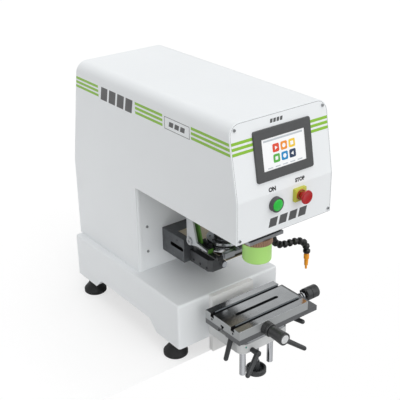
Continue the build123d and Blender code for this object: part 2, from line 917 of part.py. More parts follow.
# Shuttle cylinder that drives the carriage along its rods
shuttle_back = frame_front
shuttle_mouth = frame_front - shuttle_length
shuttle_axis_place = (shuttle_x, shuttle_level)
shuttle_lug_y = shuttle_mouth - carriage_travel - shuttle_lug_wall - shuttle_rod_show
with BuildPart() as shuttle_cylinder:
    with BuildSketch(Plane.XZ.offset(-shuttle_back)):
        with Locations(shuttle_axis_place):
            Circle(shuttle_d / 2)
    extrude(amount=shuttle_length)
    with BuildSketch(Plane.XZ.offset(-shuttle_back + cylinder_cap)):
        with Locations(shuttle_axis_place):
            Circle(shuttle_rod_d / 2 + running_gap)
    extrude(amount=shuttle_length, mode=Mode.SUBTRACT)
save(shuttle_cylinder.part, "shuttle_cylinder")

with BuildPart() as shuttle_rod:
    with BuildSketch(Plane.XZ.offset(-shuttle_lug_y)):
        with Locations(shuttle_axis_place):
            Circle(shuttle_rod_d / 2)
    extrude(amount=shuttle_lug_y - shuttle_mouth - shuttle_rod_seat)
    with BuildSketch(Plane.XZ.offset(-shuttle_lug_y)):
        with Locations((shuttle_x, (carriage_high + shuttle_level + shuttle_rod_d) / 2)):
            Rectangle(2 * shuttle_rod_d, shuttle_level + shuttle_rod_d - carriage_high)
    extrude(amount=-shuttle_lug_wall)
save(shuttle_rod.part, "shuttle_rod")

# Ink unit: two blocks, a tray and the printing plate
tray_width = plate_width + 2 * tray_side
with BuildPart() as plate_holder_block:
    with BuildSketch(Plane.XY.offset(holder_block_low)):
        with Locations((0, (holder_block_front + frame_front) / 2)):
            Rectangle(holder_block_width, frame_front - holder_block_front)
    extrude(amount=plate_top - holder_block_low)
    with BuildSketch(Plane.XY.offset(tray_low)):
        with Locations((0, (holder_block_front + plate_back) / 2)):
            Rectangle(tray_width + 2 * panel_gap, plate_back + panel_gap - holder_block_front + cut_past)
    extrude(amount=plate_top - tray_low, mode=Mode.SUBTRACT)
    for side in (-1, 1):
        block_side = Plane.YZ.offset(side * holder_block_width / 2)
        with BuildSketch(block_side):
            with Locations((block_slot_y, block_slot_level)):
                SlotOverall(block_slot_length, block_slot_width)
        extrude(amount=-side * block_slot_depth, mode=Mode.SUBTRACT)
        with BuildSketch(block_side):
            with Locations((block_hole_y, block_hole_level)):
                Circle(block_hole_d / 2)
        extrude(amount=-side * block_hole_depth, mode=Mode.SUBTRACT)
save(plate_holder_block.part, "plate_holder_block")

post_x = support_width / 2 - post_inset
post_places = [
    (post_inset - post_x, support_front + 2 * post_inset),
    (-post_x, holder_block_front - post_inset),
    (post_x, holder_block_front - post_inset),
]
with BuildPart() as ink_support_block:
    with BuildSketch(Plane.XY.offset(support_low)):
        with BuildLine():
            Polyline(
                (-support_width / 2, holder_block_front),
                (-support_width / 2, support_front + support_corner),
                (-support_width / 2 + support_corner, support_front),
                (support_nose_right, support_front),
                (support_nose_right, support_step),
                (support_width / 2, support_step),
                (support_width / 2, holder_block_front),
                close=True,
            )
        make_face()
    extrude(amount=support_high - support_low)
    with BuildSketch(Plane.XY.offset(support_high)):
        with Locations(*post_places):
            Circle(support_post_d / 2)
    extrude(amount=tray_low - support_high)
    with BuildSketch(Plane.YZ.offset(-support_width / 2)):
        with Locations(*support_hole_places):
            Circle(support_hole_d / 2)
    extrude(amount=support_hole_depth, mode=Mode.SUBTRACT)
    with Locations(Location((plate_knob_x, support_front, knob_level), (90, 0, 0))):
        Hole(knob_stud_d / 2 + running_gap, knob_stud_reach + panel_gap)
save(ink_support_block.part, "ink_support_block")

with BuildPart() as plate_tray:
    with BuildSketch(Plane.XY.offset(tray_low)):
        with Locations((0, (tray_front + plate_back) / 2)):
            Rectangle(tray_width, plate_back - tray_front)
    extrude(amount=plate_top - tray_low)
    with BuildSketch(Plane.XY.offset(tray_low + tray_wall)):
        with Locations((0, (tray_front + plate_back) / 2)):
            Rectangle(plate_width + 2 * running_gap, plate_back - tray_front + cut_past)
    extrude(amount=plate_wall, mode=Mode.SUBTRACT)
save(plate_tray.part, "plate_tray")

with BuildPart() as printing_plate:
    with BuildSketch(Plane.XY.offset(plate_top - plate_wall)):
        with Locations((0, (plate_front + plate_back) / 2)):
            Rectangle(plate_width, plate_back - plate_front)
    extrude(amount=plate_wall)
save(printing_plate.part, "printing_plate")

with BuildPart() as plate_knob:
    with BuildSketch(Plane.XZ.offset(-support_front + panel_gap)):
        with Locations((plate_knob_x, knob_level)):
            Circle(plate_knob_d / 2)
            with PolarLocations(plate_knob_d / 2 + plate_knob_groove_d / 4, plate_knob_grips):
                Circle(plate_knob_groove_d / 2, mode=Mode.SUBTRACT)
    extrude(amount=plate_knob_length)
    with BuildSketch(Plane.XZ.offset(-support_front + panel_gap)):
        with Locations((plate_knob_x, knob_level)):
            Circle(knob_stud_d / 2)
    extrude(amount=-knob_stud_reach)
save(plate_knob.part, "plate_knob")

# Ink cup: a seal edge, an outer ring, a waist and a drilled flange round the body
cup_low = plate_top + seat_gap
with BuildPart() as ink_cup:
    with BuildSketch(Plane.XZ.offset(-cup_y)):
        with BuildLine():
            Polyline(
                (0, cup_low),
                (cup_seal_d / 2, cup_low),
                (cup_seal_d / 2, cup_low + cup_seal_rise),
                (cup_ring_d / 2, cup_low + cup_seal_rise),
                (cup_ring_d / 2, cup_low + cup_ring_rise),
                (cup_waist_d / 2, cup_low + cup_ring_rise),
                (cup_waist_d / 2, cup_low + cup_waist_rise),
                (cup_flange_d / 2, cup_low + cup_waist_rise),
                (cup_flange_d / 2, cup_low + cup_flange_rise),
                (cup_body_d / 2, cup_low + cup_flange_rise),
                (cup_body_d / 2, cup_low + cup_body_rise),
                (cup_dome_d / 2, cup_low + cup_rise),
                (0, cup_low + cup_rise),
                close=True,
            )
        make_face()
    revolve(axis=Axis((0, cup_y, 0), (0, 0, 1)))
    with BuildSketch(Plane.XY.offset(cup_low + cup_flange_rise)):
        with Locations((0, cup_y)):
            with PolarLocations(cup_hole_circle / 2, cup_holes):
                Circle(cup_hole_d / 2)
    extrude(amount=-cup_hole_depth, mode=Mode.SUBTRACT)
save(ink_cup.part, "ink_cup")

# Yoke: two side bars with lugs round the cup, joined by a bar across the front
yoke_side = arm_x - arm_wall / 2
yoke_bar_x = yoke_side - yoke_bar_width / 2
with BuildPart() as cup_yoke:
    with BuildSketch(Plane.XY.offset(yoke_low)):
        with Locations((0, cross_bar_front + cross_bar_wall / 2)):
            Rectangle(2 * yoke_side, cross_bar_wall)
    extrude(amount=cross_bar_high - yoke_low)
    for side in (-1, 1):
        with BuildSketch(Plane.XY.offset(yoke_low)):
            with Locations((side * yoke_bar_x, (cross_bar_front + yoke_bar_back) / 2)):
                Rectangle(yoke_bar_width, yoke_bar_back - cross_bar_front)
        extrude(amount=yoke_strip_high - yoke_low)
        with BuildSketch(Plane.XY.offset(yoke_low)):
            with Locations((side * yoke_bar_x, (yoke_bar_front + yoke_bar_back) / 2)):
                Rectangle(yoke_bar_width, yoke_bar_back - yoke_bar_front)
        extrude(amount=yoke_bar_high - yoke_low)
        with BuildSketch(Plane.XY.offset(yoke_low)):
            lug_wide = drive_bar_x - drive_bar_wall / 2 - panel_gap - yoke_lug_x
            with Locations((side * (yoke_lug_x + lug_wide / 2), (yoke_lug_front + yoke_lug_back) / 2)):
                Rectangle(lug_wide, yoke_lug_back - yoke_lug_front)
        extrude(amount=yoke_lug_high - yoke_low)
        with BuildSketch(Plane.XY.offset(yoke_low)):
            lug_middle = side * sum(cross_lug_x) / 2
            lug_depth = cross_bar_front + cross_bar_wall - cross_lug_front
            with Locations((lug_middle, cross_lug_front + lug_depth / 2)):
                Rectangle(cross_lug_x[1] - cross_lug_x[0], lug_depth)
        extrude(amount=cross_lug_high - yoke_low)
    with BuildSketch(Plane.XY.offset(yoke_low)):
        with Locations((0, cup_y)):
            Circle(cup_ring_d / 2 + seat_gap)
    extrude(amount=yoke_lug_high - yoke_low, mode=Mode.SUBTRACT)
save(cup_yoke.part, "cup_yoke")

# Cup arm: two plates that widen down to the pivot, with drive bars inside them
with BuildPart() as cup_arm:
    for side in (-1, 1):
        with BuildSketch(Plane.YZ.offset(side * arm_x)):
            with BuildLine():
                Polyline(
                    (arm_upper[0], carriage_low),
                    (arm_upper[0], arm_taper),
                    arm_corner,
                    (arm_nose, arm_nose_levels[1]),
                    (arm_nose, arm_nose_levels[0]),
                    (arm_corner[0], arm_nose_levels[0]),
                    (pivot_y, pivot_level - pivot_boss_d / 2),
                    (arm_upper[1], pivot_level),
                    (arm_upper[1], carriage_low),
                    close=True,
                )
            make_face()
            with Locations((pivot_y, pivot_level)):
                Circle(pivot_boss_d / 2)
        extrude(amount=arm_wall / 2, both=True)
        boss_face = side * (arm_x + arm_wall / 2 + pivot_boss_rise)
        with BuildSketch(Plane.YZ.offset(boss_face)):
            with Locations((pivot_y, pivot_level)):
                Circle(pivot_boss_d / 2)
        extrude(amount=-side * pivot_boss_rise)
        with BuildSketch(Plane.YZ.offset(boss_face)):
            with Locations((pivot_y, pivot_level)):
                Circle(pivot_hole_d / 2)
        extrude(amount=-side * pivot_hole_depth, mode=Mode.SUBTRACT)
        with BuildSketch(Plane.YZ.offset(side * drive_bar_x)):
            with BuildLine():
                Polyline(
                    (drive_bar_low[0], yoke_bar_high),
                    (drive_bar_high[0], drive_bar_bend),
                    (drive_bar_high[0], carriage_low),
                    (drive_bar_high[1], carriage_low),
                    (drive_bar_high[1], drive_bar_bend),
                    (drive_bar_low[1], yoke_bar_high),
                    close=True,
                )
            make_face()
        extrude(amount=drive_bar_wall / 2, both=True)
save(cup_arm.part, "cup_arm")

# Table mounting plate and bracket in front of the base
with BuildPart() as table_mount_plate:
    with BuildSketch(Plane.XZ.offset(-base_front)):
        with Locations((0, (mount_low + mount_high) / 2)):
            Rectangle(mount_width, mount_high - mount_low)
    extrude(amount=mount_wall)
    fillet(table_mount_plate.edges().filter_by(Axis.Y), mount_corner)
save(table_mount_plate.part, "table_mount_plate")

column_places = [(side * column_spacing / 2, table_y) for side in (-1, 1)]
clamp_level = bracket_low + clamp_up
with BuildPart() as table_bracket:
    with BuildSketch(Plane.XY.offset(bracket_low)):
        with Locations((0, (bracket_front + mount_front) / 2)):
            Rectangle(bracket_width, mount_front - bracket_front)
        with Locations(*column_places):
            Circle(column_d / 2 + running_gap, mode=Mode.SUBTRACT)
        with Locations((0, table_y)):
            Circle(spindle_d / 2 + running_gap, mode=Mode.SUBTRACT)
    extrude(amount=bracket_wall)
    front_corners = table_bracket.edges().filter_by(Axis.Z).sort_by(Axis.Y)[:2]
    fillet(front_corners, bracket_round)
    with Locations(
        *[Location((x, bracket_front, clamp_level), (90, 0, 0)) for x, y in column_places]
    ):
        Hole(lever_stud_d / 2 + running_gap, lever_stud_reach + panel_gap)
save(table_bracket.part, "table_bracket")

# Lift: columns and spindle hang from the block and pass down through the bracket
with BuildPart() as guide_columns:
    with BuildSketch(Plane.XY.offset(column_foot)):
        with Locations(*column_places):
            Circle(column_d / 2)
    extrude(amount=saddle_low - block_cover - column_foot)
    chamfer(guide_columns.faces().sort_by(Axis.Z)[:2].edges(), column_bevel)
save(guide_columns.part, "guide_columns")

with BuildPart() as lift_spindle:
    with BuildSketch(Plane.XY.offset(wheel_low + wheel_floor)):
        with Locations((0, table_y)):
            Circle(spindle_d / 2)
    extrude(amount=block_low + spindle_reach - wheel_low - wheel_floor)
save(lift_spindle.part, "lift_spindle")

with BuildPart() as lift_handwheel:
    with BuildSketch(Plane.XZ.offset(-table_y)):
        with BuildLine():
            Polyline(
                (0, wheel_low),
                (wheel_d / 2 - wheel_edge, wheel_low),
                (wheel_d / 2, wheel_low + wheel_edge),
                (wheel_d / 2, wheel_low + wheel_rim - wheel_edge),
                (wheel_d / 2 - wheel_edge, wheel_low + wheel_rim),
                (wheel_d / 2 - wheel_rim_wall, wheel_low + wheel_rim - wheel_edge / 2),
                (wheel_d / 2 - wheel_rim_wall, wheel_low + wheel_floor),
                (wheel_root_d / 2, wheel_low + wheel_floor),
                (wheel_hub_d / 2, wheel_low + wheel_hub),
                (spindle_d / 2 + running_gap, wheel_low + wheel_hub),
                (spindle_d / 2 + running_gap, wheel_low + wheel_floor),
                (0, wheel_low + wheel_floor),
                close=True,
            )
        make_face()
    revolve(axis=Axis((0, table_y, 0), (0, 0, 1)))
save(lift_handwheel.part, "lift_handwheel")

block_top = saddle_low - slide_gap
with BuildPart() as lift_block:
    with BuildSketch(Plane.XY.offset(block_low)):
        with Locations((0, table_y)):
            Rectangle(block_width, block_depth)
    extrude(amount=block_top - block_low)
    with BuildSketch(Plane.XY.offset(block_top)):
        with Locations((0, table_y)):
            Rectangle(block_width, rail_width)
    extrude(amount=rail_height)
    with BuildSketch(Plane.XY.offset(block_low)):
        with Locations(*column_places):
            Circle(column_d / 2 + running_gap)
    extrude(amount=saddle_low - block_cover - block_low, mode=Mode.SUBTRACT)
    with BuildSketch(Plane.XY.offset(block_low)):
        with Locations((0, table_y)):
            Circle(spindle_d / 2 + running_gap)
    extrude(amount=spindle_reach + panel_gap, mode=Mode.SUBTRACT)
    with BuildSketch(Plane.YZ):
        with Locations((table_y, x_screw_level)):
            Circle(lead_screw_d / 2 + running_gap)
    extrude(amount=block_width, both=True, mode=Mode.SUBTRACT)
    for side in (-1, 1):
        with Locations(
            Location((side * block_width / 2, table_y, lock_level), (0, side * 90, 0))
        ):
            Hole(lever_stud_d / 2 + running_gap, lever_stud_reach + panel_gap)
save(lift_block.part, "lift_block")

# Saddle: slides across on the block, carries the table plate
guide_front = table_front + guide_inset
rail_groove_end = block_width / 2 + x_travel + rail_end_gap
with BuildPart() as saddle:
    with BuildSketch(Plane.XY.offset(saddle_low)):
        with Locations(((saddle_left + saddle_right) / 2, table_y)):
            Rectangle(saddle_right - saddle_left, table_back - table_front)
    extrude(amount=saddle_wall)
    with BuildSketch(Plane.XY.offset(saddle_low)):
        with Locations(((saddle_left + rail_groove_end) / 2, table_y)):
            Rectangle(rail_groove_end - saddle_left, rail_width + 2 * slide_gap)
    extrude(amount=rail_height + slide_gap, mode=Mode.SUBTRACT)
    with BuildSketch(Plane.XY.offset(saddle_top)):
        with Locations((guide_x, (guide_front + table_back) / 2)):
            Rectangle(guide_width, table_back - guide_front)
    extrude(amount=guide_height)
    with BuildSketch(Plane.XY.offset(saddle_top)):
        with Locations((y_screw_x, table_y)):
            Rectangle(y_nut_width, y_nut_length)
    extrude(amount=y_nut_height)
    with BuildSketch(Plane.YZ.offset(saddle_right)):
        with Locations((table_y, x_screw_level)):
            Circle(bearing_d / 2)
    extrude(amount=bearing_length)
    with BuildSketch(Plane.YZ.offset(block_width / 2 + x_travel)):
        with Locations((table_y, x_screw_level)):
            Circle(lead_screw_d / 2 + running_gap)
    extrude(amount=saddle_right, mode=Mode.SUBTRACT)
    with BuildSketch(Plane.XZ.offset(-table_y)):
        with Locations((y_screw_x, y_screw_level)):
            Circle(lead_screw_d / 2 + running_gap)
    extrude(amount=y_nut_length, both=True, mode=Mode.SUBTRACT)
save(saddle.part, "saddle")

# Table plate: T-slots, centre slot, and a pocket below for the nut and guide
plate_low = saddle_top + slide_gap
tslot_places = [table_y - tslot_offset, table_y + tslot_offset]
table_mid = (table_front + table_back) / 2
with BuildPart() as table_plate:
    with BuildSketch(Plane.XY.offset(plate_low)):
        with Locations((0, table_mid)):
            Rectangle(table_width, table_back - table_front)
    extrude(amount=table_top_level - plate_low)
    chamfer(table_plate.faces().sort_by(Axis.Z)[-1].edges(), table_edge)
    with BuildSketch(Plane.YZ):
        for y in tslot_places:
            with Locations((y, table_top_level - tslot_neck_depth / 2)):
                Rectangle(tslot_neck, tslot_neck_depth)
            with Locations((y, table_top_level - tslot_neck_depth - tslot_head_depth / 2)):
                Rectangle(tslot_head, tslot_head_depth)
    extrude(amount=table_width, both=True, mode=Mode.SUBTRACT)
    with BuildSketch(Plane.XY.offset(table_top_level)):
        with Locations((0, table_y)):
            SlotOverall(centre_slot_length, centre_slot_width)
    extrude(amount=-centre_slot_depth, mode=Mode.SUBTRACT)
    with BuildSketch(Plane.XY.offset(plate_low)):
        with Locations((guide_x, (guide_front - y_travel - panel_gap + table_back + cut_past) / 2)):
            Rectangle(
                guide_width + 2 * slide_gap,
                table_back + cut_past - guide_front + y_travel + panel_gap,
            )
    extrude(amount=guide_height, mode=Mode.SUBTRACT)
    with BuildSketch(Plane.XY.offset(plate_low)):
        with Locations((y_screw_x, table_y + y_travel / 2)):
            Rectangle(y_nut_width + 2 * slide_gap, y_nut_length + y_travel + 2 * panel_gap)
    extrude(amount=y_nut_height, mode=Mode.SUBTRACT)
    with BuildSketch(Plane.XZ.offset(-table_front)):
        with Locations((y_screw_x, y_screw_level)):
            Circle(lead_screw_d / 2 + running_gap)
    extrude(amount=-y_screw_length, mode=Mode.SUBTRACT)
    with BuildSketch(Plane.YZ.offset(-table_width / 2)):
        with Locations((table_y, plate_low + end_slot_height / 4)):
            Rectangle(end_slot_neck, end_slot_height / 2)
        with Locations((table_y, plate_low + 3 * end_slot_height / 4)):
            Rectangle(end_slot_head, end_slot_height / 2)
        with Locations((table_y - gib_offset, gib_level), (table_y + gib_offset, gib_level)):
            Circle(gib_d / 2)
    extrude(amount=end_slot_depth, mode=Mode.SUBTRACT)
save(table_plate.part, "table_plate")

# Table screws and their knobs
with BuildPart() as x_screw:
    with BuildSketch(Plane.YZ.offset(-block_width / 2 - x_screw_show)):
        with Locations((table_y, x_screw_level)):
            Circle(lead_screw_d / 2)
    extrude(amount=saddle_right + bearing_length + screw_seat + block_width / 2 + x_screw_show)
save(x_screw.part, "x_screw")

with BuildPart() as x_knob:
    with BuildSketch(Plane.YZ.offset(saddle_right + bearing_length + panel_gap)):
        with Locations((table_y, x_screw_level)):
            Circle(dial_d / 2)
    extrude(amount=knob_grip)
    chamfer(x_knob.faces().filter_by(Axis.X).edges(), knob_bevel)
    with BuildSketch(Plane.YZ.offset(saddle_right + bearing_length + knob_groove_at)):
        with Locations((table_y, x_screw_level)):
            Circle(dial_d)
            Circle(dial_d / 2 - knob_groove_depth, mode=Mode.SUBTRACT)
    extrude(amount=knob_groove, mode=Mode.SUBTRACT)
    with BuildSketch(Plane.YZ.offset(saddle_right + bearing_length)):
        with Locations((table_y, x_screw_level)):
            Circle(lead_screw_d / 2 + running_gap)
    extrude(amount=screw_seat + panel_gap, mode=Mode.SUBTRACT)
save(x_knob.part, "x_knob")

y_knob_back = table_front - panel_gap
with BuildPart() as y_screw:
    with BuildSketch(Plane.XZ.offset(-table_front - y_screw_length + y_screw_tip_gap)):
        with Locations((y_screw_x, y_screw_level)):
            Circle(lead_screw_d / 2)
    extrude(amount=y_screw_length - y_screw_tip_gap + dial_length + screw_seat)
save(y_screw.part, "y_screw")

with BuildPart() as y_knob:
    with BuildSketch(Plane.XZ.offset(-y_knob_back)):
        with Locations((y_screw_x, y_screw_level)):
            Circle(dial_d / 2)
    extrude(amount=dial_length)
    chamfer(y_knob.faces().filter_by(Axis.Y).edges(), knob_bevel)
    with BuildSketch(Plane.XZ.offset(-y_knob_back + dial_length)):
        with Locations((y_screw_x, y_screw_level)):
            Circle(knob_d / 2 - knob_groove_depth)
    extrude(amount=knob_groove)
    with BuildSketch(Plane.XZ.offset(-y_knob_back + dial_length + knob_groove)):
        with Locations((y_screw_x, y_screw_level)):
            Circle(knob_d / 2)
    extrude(amount=y_grip - knob_groove)
    chamfer(y_knob.faces().sort_by(Axis.Y)[0].edges(), grip_bevel)
    with BuildSketch(Plane.XZ.offset(-y_knob_back + dial_length + y_grip)):
        with Locations((y_screw_x, y_screw_level)):
            Circle(knob_cap_d / 2)
    extrude(amount=-knob_cap_recess, mode=Mode.SUBTRACT)
    with BuildSketch(Plane.XZ.offset(-y_knob_back)):
        with Locations((y_screw_x, y_screw_level)):
            Circle(lead_screw_d / 2 + running_gap)
    extrude(amount=dial_length + screw_seat + panel_gap, mode=Mode.SUBTRACT)
save(y_knob.part, "y_knob")


def clamp_lever(seat):
    """A clamp lever on a seat: stud in along -z, hub out along z, arm along x."""
    with BuildPart() as lever:
        with BuildSketch(Plane.XZ):
            with BuildLine():
                Polyline(
                    (0, -lever_stud_reach),
                    (lever_stud_d / 2, -lever_stud_reach),
                    (lever_stud_d / 2, panel_gap),
                    (lever_hub_d / 2 - lever_hub_inset, panel_gap),
                    (lever_hub_d / 2 - lever_waist_inset, lever_waist),
                    (lever_hub_d / 2, lever_shoulder),
                    (lever_hub_d / 2, lever_hub_length - lever_end_bevel),
                    (lever_hub_d / 2 - lever_end_bevel, lever_hub_length),
                    (0, lever_hub_length),
                    close=True,
                )
            make_face()
        revolve(axis=Axis.Z)
        arm_start = Location((0, 0, lever_arm_from), (0, 90 - lever_rise, 0))
        with Locations(arm_start):
            Cone(
                lever_root_d / 2, lever_tip_d / 2, lever_arm_length,
                align=(Align.CENTER, Align.CENTER, Align.MIN),
            )
        with Locations(arm_start * Location((0, 0, lever_arm_length))):
            Sphere(lever_tip_d / 2)
    return seat * lever.part


bracket_levers = [("bracket_lever_left", -1, 213), ("bracket_lever_right", 1, 324)]
for name, side, angle in bracket_levers:
    seat = Location((side * column_spacing / 2, bracket_front, clamp_level), (90, 0, 0))
    lever = clamp_lever(seat * Location((0, 0, 0), (0, 0, angle)))
    save(lever, name)

lock_levers = [("lock_lever_left", -1, 183), ("lock_lever_right", 1, -84)]
for name, side, angle in lock_levers:
    seat = Location((side * block_width / 2, table_y, lock_level), (0, side * 90, 0))
    lever = clamp_lever(seat * Location((0, 0, 0), (0, 0, angle)))
    save(lever, name)

# Controls
with BuildPart() as touch_panel:
    with BuildSketch(lean_plane):
        with Locations((screen_shift, screen_up)):
            RectangleRounded(screen_width, screen_height, screen_corner)
    extrude(amount=screen_wall)
    chamfer(touch_panel.faces().filter_by(lean_plane).sort_by(Axis.Y)[0].edges(), screen_bevel)
    with BuildSketch(lean_plane):
        with Locations((screen_shift, screen_up)):
            Rectangle(
                screen_width - 2 * screen_border - 2 * panel_gap,
                screen_height - 2 * screen_border - 2 * panel_gap,
            )
    extrude(amount=-screen_back_depth)
    with BuildSketch(lean_plane.offset(screen_wall)):
        with Locations((screen_shift, screen_up)):
            Rectangle(screen_view_width, screen_view_height)
    extrude(amount=-screen_recess - screen_glass, mode=Mode.SUBTRACT)
save(touch_panel.part, "touch_panel")

with BuildPart() as touch_screen:
    with BuildSketch(lean_plane.offset(screen_wall - screen_recess)):
        with Locations((screen_shift, screen_up)):
            Rectangle(
                screen_view_width - 2 * screen_glass_gap,
                screen_view_height - 2 * screen_glass_gap,
            )
    extrude(amount=-screen_glass)
save(touch_screen.part, "touch_screen")

button_plane = Plane(origin=(button_x, 0, button_level), x_dir=(1, 0, 0), z_dir=(0, -1, 0))
with BuildPart() as start_button_ring:
    with BuildSketch(button_plane):
        Circle(button_ring_d / 2)
        Circle(button_cap_d / 2 + panel_gap, mode=Mode.SUBTRACT)
    extrude(amount=button_ring_rise)
    chamfer(start_button_ring.faces().sort_by(Axis.Y)[0].edges(), button_edge)
    with BuildSketch(button_plane):
        Circle(button_ring_d / 2)
        Circle(button_stem_d / 2 + panel_gap, mode=Mode.SUBTRACT)
    extrude(amount=button_ring_rise - button_travel - button_cap_height - panel_gap)
    with BuildSketch(button_plane):
        Circle(switch_body_d / 2)
        Circle(button_stem_d / 2 + panel_gap, mode=Mode.SUBTRACT)
    extrude(amount=-switch_body_depth)
save(start_button_ring.part, "start_button_ring")

with BuildPart() as start_button:
    with BuildSketch(button_plane.offset(button_ring_rise - button_cap_height)):
        Circle(button_cap_d / 2)
    extrude(amount=button_cap_height)
    fillet(start_button.faces().sort_by(Axis.Y)[0].edges(), button_round)
    with BuildSketch(button_plane.offset(button_ring_rise - button_cap_height)):
        Circle(button_stem_d / 2)
    extrude(amount=button_travel - switch_body_depth)
save(start_button.part, "start_button")

stop_plane = Plane(origin=(stop_x, 0, stop_level), x_dir=(1, 0, 0), z_dir=(0, -1, 0))
with BuildPart() as stop_plate_body:
    with BuildSketch(stop_plane):
        RectangleRounded(stop_plate, stop_plate, stop_plate_corner)
        Circle(stop_stem_d / 2 + panel_gap, mode=Mode.SUBTRACT)
    extrude(amount=stop_plate_rise)
    with BuildSketch(stop_plane):
        Circle(switch_body_d / 2)
        Circle(stop_stem_d / 2 + panel_gap, mode=Mode.SUBTRACT)
    extrude(amount=-switch_body_depth)
save(stop_plate_body.part, "stop_plate")

stop_cap_back = stop_plate_rise + stop_travel + stop_clearance
with BuildPart() as stop_stem:
    with BuildSketch(stop_plane.offset(stop_travel - switch_body_depth)):
        Circle(stop_stem_d / 2)
    extrude(amount=switch_body_depth - stop_travel + stop_cap_back - panel_gap)
    with BuildSketch(stop_plane.offset(stop_cap_back - panel_gap)):
        Circle(stop_pin_d / 2)
    extrude(amount=stop_pin_length)
save(stop_stem.part, "stop_stem")

with BuildPart() as stop_knob:
    with BuildSketch(Plane.XZ):
        with BuildLine():
            Polyline(
                (stop_pin_d / 2 + running_gap, stop_cap_back),
                (stop_neck_d / 2, stop_cap_back),
                (stop_head_d / 2 - stop_flare_bevel, stop_cap_back + stop_flare),
                (stop_head_d / 2, stop_cap_back + stop_flare + stop_flare_bevel),
                (stop_head_d / 2, stop_cap_back + stop_head_rise),
                (0, stop_cap_back + stop_head_rise),
                (0, stop_cap_back + stop_pin_length + panel_gap),
                (stop_pin_d / 2 + running_gap, stop_cap_back + stop_pin_length + panel_gap),
                close=True,
            )
        make_face()
    revolve(axis=Axis.Z)
    fillet(stop_knob.faces().sort_by(Axis.Z)[-1].edges(), stop_head_round)
save(stop_plane.location * stop_knob.part, "stop_knob")

# Inside the column and on the back
with BuildPart() as control_box:
    with BuildSketch(Plane.XY.offset(control_low)):
        with Locations((0, frame_front + beam_wall + control_depth / 2)):
            RectangleRounded(control_width, control_depth, control_corner)
    extrude(amount=control_height)
save(control_box.part, "control_box")

with BuildPart() as valve_block:
    with BuildSketch(Plane.XY.offset(valve_low)):
        with Locations((0, frame_front + beam_wall + valve_depth / 2)):
            Rectangle(valve_width, valve_depth)
    extrude(amount=valve_height)
save(valve_block.part, "valve_block")

with BuildPart() as mains_inlet:
    with BuildSketch(Plane.XZ.offset(-rear_face - inlet_flange_wall)):
        with Locations((inlet_x, inlet_level)):
            RectangleRounded(
                inlet_width + 2 * inlet_flange, inlet_height + 2 * inlet_flange, inlet_corner
            )
    extrude(amount=inlet_flange_wall)
    with BuildSketch(Plane.XZ.offset(-rear_face)):
        with Locations((inlet_x, inlet_level)):
            Rectangle(inlet_width, inlet_height)
    extrude(amount=inlet_depth)
    with BuildSketch(Plane.XZ.offset(-rear_face - inlet_flange_wall)):
        with Locations((inlet_x, inlet_level)):
            RectangleRounded(inlet_socket_width, inlet_socket_height, inlet_corner)
    extrude(amount=inlet_socket_depth, mode=Mode.SUBTRACT)
save(mains_inlet.part, "mains_inlet")

with BuildPart() as air_inlet:
    with BuildSketch(Plane.XZ.offset(-rear_face - air_flange)):
        with Locations((-inlet_x, inlet_level)):
            RegularPolygon(air_hex_af / 2, 6, major_radius=False)
    extrude(amount=air_flange)
    with BuildSketch(Plane.XZ.offset(-rear_face - air_flange - air_stub)):
        with Locations((-inlet_x, inlet_level)):
            Circle(air_port_d / 2)
    extrude(amount=air_stub + air_flange + air_tail)
    with BuildSketch(Plane.XZ.offset(-rear_face - air_flange - air_stub)):
        with Locations((-inlet_x, inlet_level)):
            Circle(air_bore_d / 2)
    extrude(amount=air_bore_length, mode=Mode.SUBTRACT)
save(air_inlet.part, "air_inlet")


def hose_link(place):
    """One link of the hose: ball and flare at its start, socket at its end."""
    ball = hose_ball_d / 2
    socket = ball + panel_gap
    mouth = hose_pitch - socket_lip
    outer = hose_d / 2
    with BuildPart() as link:
        with BuildSketch(Plane.XZ):
            with BuildLine():
                bore_low = -math.sqrt(ball**2 - (hose_bore / 2) ** 2)
                seat_low = hose_pitch - math.sqrt(socket**2 - (hose_bore / 2) ** 2)
                seat_lip = math.sqrt(socket**2 - socket_lip**2)
                Line((hose_bore / 2, seat_low), (hose_bore / 2, bore_low))
                ThreePointArc(
                    (hose_bore / 2, bore_low),
                    (ball * math.sqrt(0.5), -ball * math.sqrt(0.5)),
                    (ball, 0),
                )
                Polyline(
                    (ball, 0),
                    (outer, hose_flare),
                    (outer, hose_body),
                    (outer - hose_mouth_wall_cut, mouth),
                    (seat_lip, mouth),
                )
                ThreePointArc(
                    (seat_lip, mouth),
                    (
                        socket * math.sqrt(0.5),
                        hose_pitch - socket * math.sqrt(0.5),
                    ),
                    (hose_bore / 2, seat_low),
                )
            make_face()
        revolve(axis=Axis.Z)
    return place * link.part


def hose_place(point, tilt):
    """Where a link starts, its z axis tilted up from straight down towards the heading."""
    return Location(point) * Location((0, 0, 0), (0, 0, hose_turn)) * Location(
        (0, 0, 0), (0, 180 - tilt, 0)
    )


def hose_step(point, tilt):
    """The end of a link that starts at a point with a tilt."""
    return (hose_place(point, tilt) * Location((0, 0, hose_pitch))).position


# Hose: a chain of links down from the frame, out to the side and down again
chain_end = Vector(hose_x, hose_y, hood_bottom)
upper_links = []
for tilt in hose_tilts:
    upper_links.append(hose_link(hose_place(chain_end, tilt)))
    chain_end = hose_step(chain_end, tilt)
drop_links = []
for tilt in hose_drop_tilts:
    drop_links.append(hose_link(hose_place(chain_end, tilt)))
    chain_end = hose_step(chain_end, tilt)
save(Compound(children=upper_links), "hose_links")
save(Compound(children=drop_links), "hose_drop")

